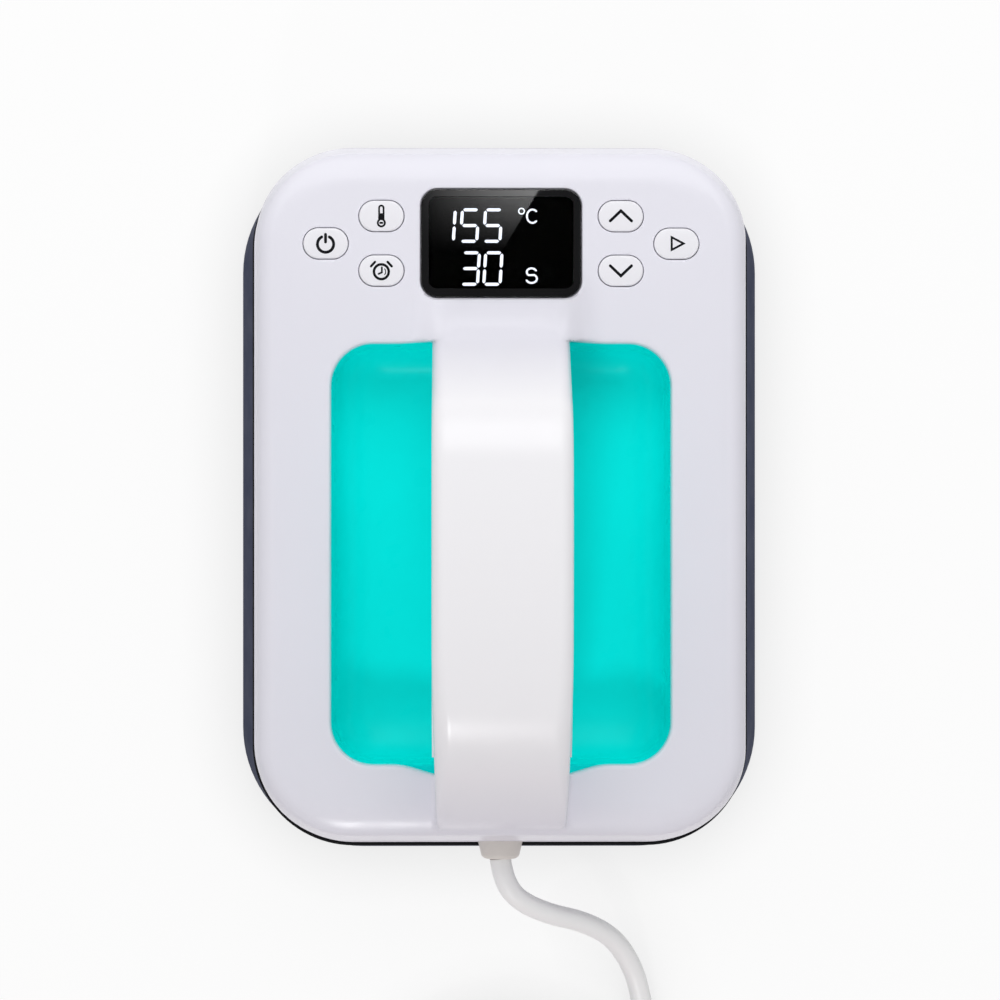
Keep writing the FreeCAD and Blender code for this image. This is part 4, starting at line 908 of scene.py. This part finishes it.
def symbolStrokes(name, low, high):
    def stroke(line, part, closed=False):
        return strokeFaces(line, symbolInk[part], low, high, closed)

    if name == "power":
        return stroke(arcLine((0, -0.25), 2.25, 118, 422), "power") + stroke([(0, 2.45), (0, 0.35)], "power")
    if name == "temperature":
        half = symbolInk["tubeHalf"]
        outline = [(-half, -1.15), (-half, 2.2), *arcLine((0, 2.2), half, 180, 0, 9), (half, -1.15)]
        tube = stroke(outline, "tube")
        bulb = stroke(arcLine((0, -1.95), 0.98, 125, 415), "bulb")
        filled = [flatSolid([(-half, -1.2), (half, -1.2), (half, 0.7), (-half, 0.7)], low, high)]
        return tube + bulb + filled + stroke([(-0.3, -1.95), (0.3, -1.95)], "column")
    if name == "timer":
        face = stroke(arcLine((0, -0.35), 2.05, 0, 345), "clock", closed=True)
        bells = stroke([(-2.85, 1.15), (-1.75, 2.35)], "bells")
        bells += stroke([(2.85, 1.15), (1.75, 2.35)], "bells")
        hands = stroke([(0.15, 0.85), (0.15, -0.55), (-0.75, -0.95)], "hands")
        tick = stroke(arcLine((0, -0.35), 1.2, -40, 40, 10), "tick")
        return face + bells + hands + tick
    if name in ("up", "down"):
        rise = 1 if name == "up" else -1
        return stroke([(-2.95, -1.35 * rise), (0, 1.45 * rise), (2.95, -1.35 * rise)], "chevron")
    return stroke([(-1.35, -1.75), (1.95, 0.0), (-1.35, 1.75)], "triangle", closed=True)


for name, place in buttonPlaces.items():
    stemRings = []
    sample = ovalRing(place, button["length"], button["width"], 0.0)
    for z, radius in ((button["stemBottom"], button["stem"]), (button["flangeBottom"], button["stem"])):
        stemRings.append([(place[0] + radius * math.cos(math.atan2(p[1] - place[1], p[0] - place[0])),
                           place[1] + radius * math.sin(math.atan2(p[1] - place[1], p[0] - place[0])), z)
                          for p in sample])
    flangeGrow = 2 * button["flange"]
    rings = stemRings + [
        ovalRing(place, button["length"] + flangeGrow, button["width"] + flangeGrow, button["flangeBottom"]),
        ovalRing(place, button["length"] + flangeGrow, button["width"] + flangeGrow, button["flangeTop"]),
        ovalRing(place, button["length"], button["width"], button["flangeTop"]),
    ]
    for stage in range(6):
        angle = math.radians(90 * stage / 5)
        inset = 2 * button["edge"] * (1 - math.cos(angle))
        z = button["top"] - button["crown"] - button["edge"] * (1 - math.sin(angle))
        rings.append(ovalRing(place, button["length"] - inset, button["width"] - inset, z))
    flatLength = button["length"] - 2 * button["edge"]
    flatWidth = button["width"] - 2 * button["edge"]
    for share in (0.75, 0.5, 0.25, 0.02):  # the crowned top closes in towards its middle
        length = flatLength - (1 - share) * flatWidth
        width = flatWidth * share
        z = button["top"] - button["crown"] * share ** 2
        rings.append(ovalRing(place, length, width, z))
    cap = turnOutward(loft(name + "_button_cap", rings, finishes["satinAbsButton"], sharpAngle=50.0))
    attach(cap, name)
    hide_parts(name + "_button")
    strokes = symbolStrokes(name, 0.0, 1.0)
    moved = []
    for strokePoints, strokeSides in strokes:
        lifted = []  # the ink follows the crowned cap
        for x, y, level in strokePoints:
            reach = min(1.0, math.hypot(x / (button["length"] / 2), y / (button["width"] / 2)))
            surface = button["top"] - button["crown"] * reach ** 2
            height = surface + (symbolInk["proud"] if level > 0.5 else -symbolInk["sunk"])
            lifted.append((place[0] + x, place[1] + y, height))
        moved.append((lifted, strokeSides))
    symbol = joinSolids(name + "_symbol", moved, finishes["padPrintInk"])
    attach(symbol, name)
print("six buttons have caps and symbols")


# display: lens, frame line and lit digits

lensFloor = display["top"] - display["thick"]
rings = [displayRing(display["width"], display["length"], display["corner"], lensFloor)]
for stage in range(5):
    angle = math.radians(90 * stage / 4)
    inset = 2 * display["edge"] * (1 - math.cos(angle))
    z = display["top"] - display["edge"] * (1 - math.sin(angle))
    rings.append(displayRing(display["width"] - inset, display["length"] - inset,
                             display["corner"] - inset / 2, z))
lens = turnOutward(loft("display_lens_pane", rings, finishes["smokedAcrylic"], sharpAngle=60.0))
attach(lens, "press")
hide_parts("display_lens")

# the frame line printed on the lens
frameLine = {"inset": 0.6, "halfX": 20.04, "front": 58.45, "back": 84.0, "corner": 2.4, "proud": 0.012,
             "thick": 0.06}
frameTop = display["top"] + frameLine["proud"]
outerEdge = pocketRing(-frameLine["inset"], frameTop)
innerEdge = roundedRing(frameLine["halfX"], frameLine["front"], frameLine["back"], frameLine["corner"],
                        frameTop)
lowInner = [(x, y, z - frameLine["thick"]) for x, y, z in innerEdge]
lowOuter = [(x, y, z - frameLine["thick"]) for x, y, z in outerEdge]
border = turnOutward(loft("display_border", [outerEdge, innerEdge, lowInner, lowOuter, outerEdge],
                          finishes["borderInk"], closeStart=False, closeEnd=False))
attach(border, "press")

digit = {"width": 5.35, "height": 9.55, "stroke": 0.84, "lean": 0.30, "gap": 0.22, "low": 47.70,
         "high": 47.83}
digitPlaces = (("1", (-15.2, 76.0)), ("5", (-8.72, 76.0)), ("5", (-2.32, 76.0)),
               ("3", (-8.52, 64.1)), ("0", (-2.27, 64.1)))
unitSigns = {"ring": (5.66, 80.0), "ringRadius": 0.78, "ringStroke": 0.34,
             "letterC": (8.70, 78.6), "radiusC": 1.85, "shareC": 0.83, "strokeC": 0.5,
             "letterS": 8.44, "upperS": (63.12, 1.05), "lowerS": (61.30, 1.18), "shareS": 1.26,
             "strokeS": 0.52}
segmentsOf = {"0": "abcdef", "1": "bc", "3": "abcdg", "5": "acdfg"}


def digitBars(character, centre):
    wide = digit["width"] / 2 - digit["stroke"] / 2
    tall = digit["height"] / 2 - digit["stroke"] / 2
    ends = {"a": (-wide, tall, wide, tall), "g": (-wide, 0, wide, 0), "d": (-wide, -tall, wide, -tall),
            "f": (-wide, 0, -wide, tall), "e": (-wide, -tall, -wide, 0),
            "b": (wide, 0, wide, tall), "c": (wide, -tall, wide, 0)}
    bars = []
    for letter in segmentsOf[character]:
        x0, y0, x1, y1 = ends[letter]
        along = np.array([x1 - x0, y1 - y0])
        along /= np.linalg.norm(along)
        across = np.array([-along[1], along[0]]) * digit["stroke"] / 2
        start = np.array([x0, y0]) + along * digit["gap"]
        end = np.array([x1, y1]) - along * digit["gap"]
        half = along * digit["stroke"] / 2
        shape = [start, start + half - across, end - half - across,
                 end, end - half + across, start + half + across]
        shape = [(centre[0] + p[0] + p[1] / (digit["height"] / 2) * digit["lean"], centre[1] + p[1])
                 for p in shape]
        bars.append(flatSolid(shape, digit["low"], digit["high"]))
    return bars


lit = []
for character, centre in digitPlaces:
    lit += digitBars(character, centre)
ring = arcLine(unitSigns["ring"], unitSigns["ringRadius"], 0, 345, 20)
lit += strokeFaces(ring, unitSigns["ringStroke"], digit["low"], digit["high"], closed=True)
arc = arcLine(unitSigns["letterC"], unitSigns["radiusC"], 48, 312, 24)
arc = stretched(arc, unitSigns["letterC"][0], unitSigns["shareC"])
lit += strokeFaces(arc, unitSigns["strokeC"], digit["low"], digit["high"])
middleS = unitSigns["letterS"]
curve = arcLine((middleS, unitSigns["upperS"][0]), unitSigns["upperS"][1], 25, 235, 16)
curve += arcLine((middleS, unitSigns["lowerS"][0]), unitSigns["lowerS"][1], 60, -155, 16)
curve = stretched(curve, middleS, unitSigns["shareS"])
lit += strokeFaces(curve, unitSigns["strokeS"], digit["low"], digit["high"])
digits = joinSolids("display_digits", lit, finishes["litDigits"])
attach(digits, "press")
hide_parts("display_segments")
print("display shows its digits")


# strain relief

relief = {"centre": (0.0, 0.0, 31.0), "wall": -95.8, "tip": -101.0, "root": 6.3, "end": 5.0, "round": 1.6,
          "neck": 4.6, "innerEnd": -88.6, "behindWall": 1.2, "bevel": 0.4, "mouth": 3.25, "throat": 3.05}
profile = [(relief["neck"], relief["innerEnd"]), (relief["neck"], relief["wall"] + relief["behindWall"]),
           (relief["root"] - relief["bevel"], relief["wall"] + relief["behindWall"]),
           (relief["root"], relief["wall"] - relief["bevel"])]
shoulder = relief["root"] + (relief["end"] + 0.3 - relief["root"]) * 0.8
for stage in range(8):
    angle = math.radians(90 * stage / 7)
    profile.append((shoulder - relief["round"] * (1 - math.cos(angle)),
                    relief["tip"] + relief["round"] * (1 - math.sin(angle))))
profile += [(relief["mouth"], relief["tip"]), (relief["throat"], relief["tip"] + 0.5)]
collar = loft("strain_relief_collar", [circleRing(r, y, relief["centre"]) for r, y in profile],
              finishes["creamPvc"], sharpAngle=50.0)
turnOutward(collar)
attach(collar, "press")
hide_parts("strain_relief")


# plug

plug = {"start": (0.0, -254.5, 8.5), "bootLength": 16.0, "bodyLength": 30.0, "faceLength": 6.0,
        "width": 35.5, "thick": 17.0, "backWidth": 22.0, "backThick": 13.0,
        "grooves": 4, "grooveStart": 2.4, "groovePitch": 3.1, "grooveRadius": 4.3, "grooveGrow": 0.28}


def plugRing(x, width, thick, corner):
    flat = roundedRing(width / 2, -thick / 2, thick / 2, corner, 0.0, perCorner=10, perSide=3)
    return [(x, plug["start"][1] + a, plug["start"][2] + b) for a, b, _ in flat]


def plugBoot(x, radius):
    flat = plugRing(x, plug["backWidth"], plug["backThick"], 6.0)
    ring = []
    for _, y, z in flat:
        angle = math.atan2(z - plug["start"][2], y - plug["start"][1])
        ring.append((x, plug["start"][1] + radius * math.cos(angle),
                     plug["start"][2] + radius * math.sin(angle)))
    return ring


bootEnd = plug["start"][0] - plug["bootLength"]
faceX = bootEnd - plug["bodyLength"]
rings = [plugBoot(plug["start"][0], 3.1), plugBoot(plug["start"][0], 3.9),
         plugBoot(plug["start"][0] - 0.4, 4.2)]
for groove in range(plug["grooves"]):  # flex grooves round the boot
    at = plug["start"][0] - plug["grooveStart"] - groove * plug["groovePitch"]
    radius = plug["grooveRadius"] + plug["grooveGrow"] * groove
    rings += [plugBoot(at, radius), plugBoot(at - 0.25, radius - 0.9), plugBoot(at - 1.15, radius - 0.85),
              plugBoot(at - 1.4, radius + 0.12)]
rings += [plugBoot(bootEnd + 0.6, 5.6), plugRing(bootEnd + 0.05, 12.0, 11.0, 5.4),
          plugRing(bootEnd - 0.4, plug["backWidth"] - 2.4, plug["backThick"] - 1.6, 5.0),
          plugRing(bootEnd - 1.4, plug["backWidth"] - 0.5, plug["backThick"] - 0.4, 5.6)]
for stage in range(1, 9):
    share = stage / 9
    width = plug["backWidth"] + (plug["width"] - plug["backWidth"]) * share
    thick = plug["backThick"] + (plug["thick"] - plug["backThick"]) * share
    flareX = bootEnd - share * (plug["bodyLength"] - plug["faceLength"])
    rings.append(plugRing(flareX, width, thick, 6.0 + share))
rings += [plugRing(faceX + plug["faceLength"], plug["width"] - 0.2, plug["thick"], 7.0),
          plugRing(faceX + 1.0, plug["width"], plug["thick"], 7.0),
          plugRing(faceX + 0.3, plug["width"] - 0.5, plug["thick"] - 0.5, 6.8),
          plugRing(faceX, plug["width"] - 1.9, plug["thick"] - 1.9, 6.2)]
plugBody = turnOutward(loft("plug_body_moulding", rings, finishes["mouldedPvcPlug"]))
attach(plugBody, "press")
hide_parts("plug_body")
print("strain relief and plug are moulded")


# mains cord: one run from the strain relief, through the coil, to the plug

cord = {
    "radius": 3.0, "length": 1.505,  # the length in metres
    "coilCentre": (1.0, -197.0), "coilRadius": 44.0, "coilPitch": 7.8, "rise": 6.7,
    "turnsIn": 2.5, "turnsOut": 3.0, "perTurn": 16,
}
cordRoute = [
    (0.0, -101.0, 31.0), (0.8, -106.8, 30.8), (4.7, -112.9, 29.0), (13.4, -117.4, 25.2), (23.9, -120.3, 19.4),
    (32.8, -125.6, 12.8), (38.8, -135.2, 6.9), (41.5, -145.6, 3.6), (43.0, -157.0, 3.0), (44.2, -168.5, 3.0),
    (45.0, -180.0, 3.0), (45.0, -191.0, 3.0),
]
tailRoute = [
    (48.9, -203.0, 9.7), (48.9, -211.0, 9.7), (46.5, -223.5, 6.2), (37.5, -238.0, 3.3), (23.0, -250.0, 4.6),
    (9.5, -254.5, 8.5), (0.0, -254.5, 8.5),
]


def coilPoints():  # in on the lower layer, up in half a turn, out on the upper layer
    spots = []
    radius, height = cord["coilRadius"], cord["radius"]
    halves = int(cord["turnsIn"] * 2) * [(-1, 0)] + [(0, 1)] + int(cord["turnsOut"] * 2) * [(1, 0)]
    side = 1
    steps = cord["perTurn"] // 2
    for shrink, climb in halves:
        after = radius + shrink * cord["coilPitch"] / 2
        reach = (radius + after) / 2
        centre = cord["coilCentre"][0] + side * (radius - reach)
        for step in range(1, steps + 1):
            angle = math.pi * step / steps - math.pi / (2 * steps)
            corner = side * reach / math.cos(math.pi / (2 * steps))  # the spline cuts inside its points
            x = centre + corner * math.cos(angle)
            y = cord["coilCentre"][1] - corner * math.sin(angle)
            z = height + climb * cord["rise"] * (1 - math.cos(angle)) / 2
            spots.append((x, y, z))
        height += climb * cord["rise"]
        radius = after
        side = -side
    return spots


def cordCurve(name, points, radius, material):
    data = bpy.data.curves.new(name, "CURVE")
    data.dimensions = "3D"
    data.bevel_depth = radius * mm
    data.bevel_resolution = 6
    data.use_fill_caps = True
    spline = data.splines.new("NURBS")
    spline.points.add(len(points) - 1)
    for spot, point in zip(spline.points, points):
        spot.co = (point[0] * mm, point[1] * mm, point[2] * mm, 1.0)
    spline.order_u = 3
    spline.use_endpoint_u = True
    spline.resolution_u = 8
    data.materials.append(material)
    return newObject(name, data)


wholeRoute = cordRoute + coilPoints() + tailRoute
mainsCord = cordCurve("mains_cord_run", wholeRoute, cord["radius"], finishes["pvcSheath"])
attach(mainsCord, "press")
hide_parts("mains_cord", "cord_coil", "cord_tail")
print("mains cord is laid and coiled")


# floor, light and camera

studio = {"floor": "#ececec", "floorDrift": "#eaeaea", "floorSize": 6.0, "worldStrength": 0.46, "white": 0.90,
          "haloReach": 20.0, "halo": 0.26, "below": 0.1}  # below keeps the floor out of the base's own plane
# the lamps' place, aim and size in metres, power in watts and colour
lamps = {
    "keyLamp": ((-0.12, -0.93, 0.86), (0, 0, 0.03), (0.16, 0.16), 3.0, "#ffffff"),
    "backSoftbox": ((0.0, 0.42, 0.48), (0, 0, 0.03), (0.8, 0.4), 2.3, "#ffffff"),
    "frontSoftbox": ((0.0, -0.62, 0.14), (0, -0.08, 0.05), (0.5, 0.12), 0.10, "#ff90b0"),
}
# what the lens mirrors, in metres: a dark ceiling, and a small glowing card with a slanted edge
ceiling = {"side": 0.6, "front": -0.6, "back": 0.7, "height": 1.7}
slantedCard = {"left": -0.0562, "frontRight": 0.0048, "backRight": 0.0584, "front": 0.150, "back": 0.240,
               "height": 1.5, "glow": 2.55, "along": (0.170, 0.214), "alongPower": 1.8,
               "across": (-0.0397, 0.0483)}


def backgroundRays(tree):  # 1 for rays that show the background: straight, mirrored or through glass
    rays = addNode(tree, "ShaderNodeLightPath")
    seen = addNode(tree, "ShaderNodeMath", {0: rays.outputs["Is Camera Ray"],
                                            1: rays.outputs["Is Glossy Ray"]}, operation="MAXIMUM")
    seen = addNode(tree, "ShaderNodeMath", {0: seen.outputs[0], 1: rays.outputs["Is Transmission Ray"]},
                   operation="MAXIMUM")
    return seen.outputs[0]


def studioFloor():  # the camera sees it mostly white, with the object's shadow and a contact shade
    material, tree, shader = newMaterial("paperSweep", {"Roughness": 0.9, "Specular IOR Level": 0.2})
    tint(tree, shader, studio["floor"], studio["floorDrift"], 60.0)
    clearSky = addNode(tree, "ShaderNodeAmbientOcclusion", {"Distance": studio["haloReach"] * mm})
    shade = addNode(tree, "ShaderNodeMapRange", {"Value": clearSky.outputs["AO"],
                                                 "To Min": 1 - studio["halo"], "To Max": 1.0})
    white = addNode(tree, "ShaderNodeEmission", {"Color": toLinear("#ffffff"),
                                                 "Strength": shade.outputs["Result"]})
    share = addNode(tree, "ShaderNodeMath", {0: backgroundRays(tree), 1: studio["white"]},
                    operation="MULTIPLY")
    mix = addNode(tree, "ShaderNodeMixShader", {0: share.outputs[0], 1: shader.outputs[0],
                                                2: white.outputs[0]})
    tree.links.new(mix.outputs[0], tree.nodes["Material Output"].inputs["Surface"])
    half = studio["floorSize"] / 2
    data = bpy.data.meshes.new("floor")
    level = -studio["below"] * mm
    corners = [(-half, -half, level), (half, -half, level), (half, half, level), (-half, half, level)]
    data.from_pydata(corners, [], [(0, 1, 2, 3)])
    data.materials.append(material)
    floor = newObject("floor", data)


def softbox(name, place, aim, size, power, colour):
    data = bpy.data.lights.new(name, "AREA")
    data.shape = "RECTANGLE"
    data.size, data.size_y = size
    data.energy = power
    data.color = toLinear(colour)[:3]
    lamp = newObject(name, data)
    lamp.location = place
    direction = np.array(aim) - np.array(place)
    lamp.rotation_euler = Vector(direction).to_track_quat("-Z", "Y").to_euler()


studioFloor()
for name, values in lamps.items():
    softbox(name, *values)


def reflectionCards():  # seen only in gloss and through glass, and with no light or shadow on the object
    dark, tree, shader = newMaterial("blackFlag", {"Base Color": toLinear("#020202"), "Roughness": 0.9,
                                                   "Specular IOR Level": 0.0})
    card, tree, shader = newMaterial("reflectionCard", {"Base Color": toLinear("#000000"), "Roughness": 1.0})
    place = addNode(tree, "ShaderNodeSeparateXYZ", {0: objectPoint(tree)})
    rise = addNode(tree, "ShaderNodeMapRange", {"Value": place.outputs["Y"],
                                                "From Min": slantedCard["along"][0],
                                                "From Max": slantedCard["along"][1]})
    rise = addNode(tree, "ShaderNodeMath", {0: rise.outputs[0], 1: slantedCard["alongPower"]},
                   operation="POWER")
    across = addNode(tree, "ShaderNodeMapRange", {"Value": place.outputs["X"],
                                                  "From Min": slantedCard["across"][0],
                                                  "From Max": slantedCard["across"][1]})
    both = addNode(tree, "ShaderNodeMath", {0: rise.outputs[0], 1: across.outputs[0]}, operation="MULTIPLY")
    strength = addNode(tree, "ShaderNodeMath", {0: both.outputs[0], 1: slantedCard["glow"]},
                       operation="MULTIPLY")
    glow = addNode(tree, "ShaderNodeEmission", {"Color": toLinear("#ffffff"),
                                                "Strength": strength.outputs[0]})
    tree.links.new(glow.outputs[0], tree.nodes["Material Output"].inputs["Surface"])
    flagPoints = [(-ceiling["side"], ceiling["front"], ceiling["height"]),
                  (-ceiling["side"], ceiling["back"], ceiling["height"]),
                  (ceiling["side"], ceiling["back"], ceiling["height"]),
                  (ceiling["side"], ceiling["front"], ceiling["height"])]
    cardPoints = [(slantedCard["left"], slantedCard["front"], slantedCard["height"]),
                  (slantedCard["left"], slantedCard["back"], slantedCard["height"]),
                  (slantedCard["backRight"], slantedCard["back"], slantedCard["height"]),
                  (slantedCard["frontRight"], slantedCard["front"], slantedCard["height"])]
    for name, points, material in (("blackFlag", flagPoints, dark), ("reflectionCard", cardPoints, card)):
        data = bpy.data.meshes.new(name)
        data.from_pydata(points, [], [(0, 1, 2, 3)])
        data.materials.append(material)
        plane = newObject(name, data)
        plane.visible_camera = False
        plane.visible_diffuse = False
        plane.visible_shadow = False


reflectionCards()

world = bpy.data.worlds.new("studioWorld")
bpy.context.scene.world = world
world.use_nodes = True
worldTree = world.node_tree
background = worldTree.nodes["Background"]
background.inputs["Color"].default_value = toLinear("#ffffff")
strength = addNode(worldTree, "ShaderNodeMapRange", {"Value": backgroundRays(worldTree),
                                                     "To Min": studio["worldStrength"], "To Max": 1.0})
worldTree.links.new(strength.outputs[0], background.inputs["Strength"])
print("floor, lamps and cards are set")

# heights and clip distances in metres, side steps turned from mm to metres, and the sensor in mm
camera = {"height": 1.0, "left": 12.0 * mm, "aimX": 0.3 * mm, "focalPixels": 3436.0, "sensor": 36.0,
          "imagePixels": 1000.0, "nearest": 0.05, "farthest": 30.0}
lensData = bpy.data.cameras.new("overheadCamera")
lensData.sensor_width = camera["sensor"]
lensData.lens = camera["focalPixels"] * camera["sensor"] / camera["imagePixels"]
lensData.clip_start = camera["nearest"]
lensData.clip_end = camera["farthest"]
overhead = newObject("overheadCamera", lensData)
overhead.location = (-camera["left"], 0.0, camera["height"])
overhead.rotation_euler = (0.0, -math.atan2(camera["left"] + camera["aimX"], camera["height"]), 0.0)
bpy.context.scene.camera = overhead
bpy.context.scene.view_settings.view_transform = "Standard"

print("scene is ready")
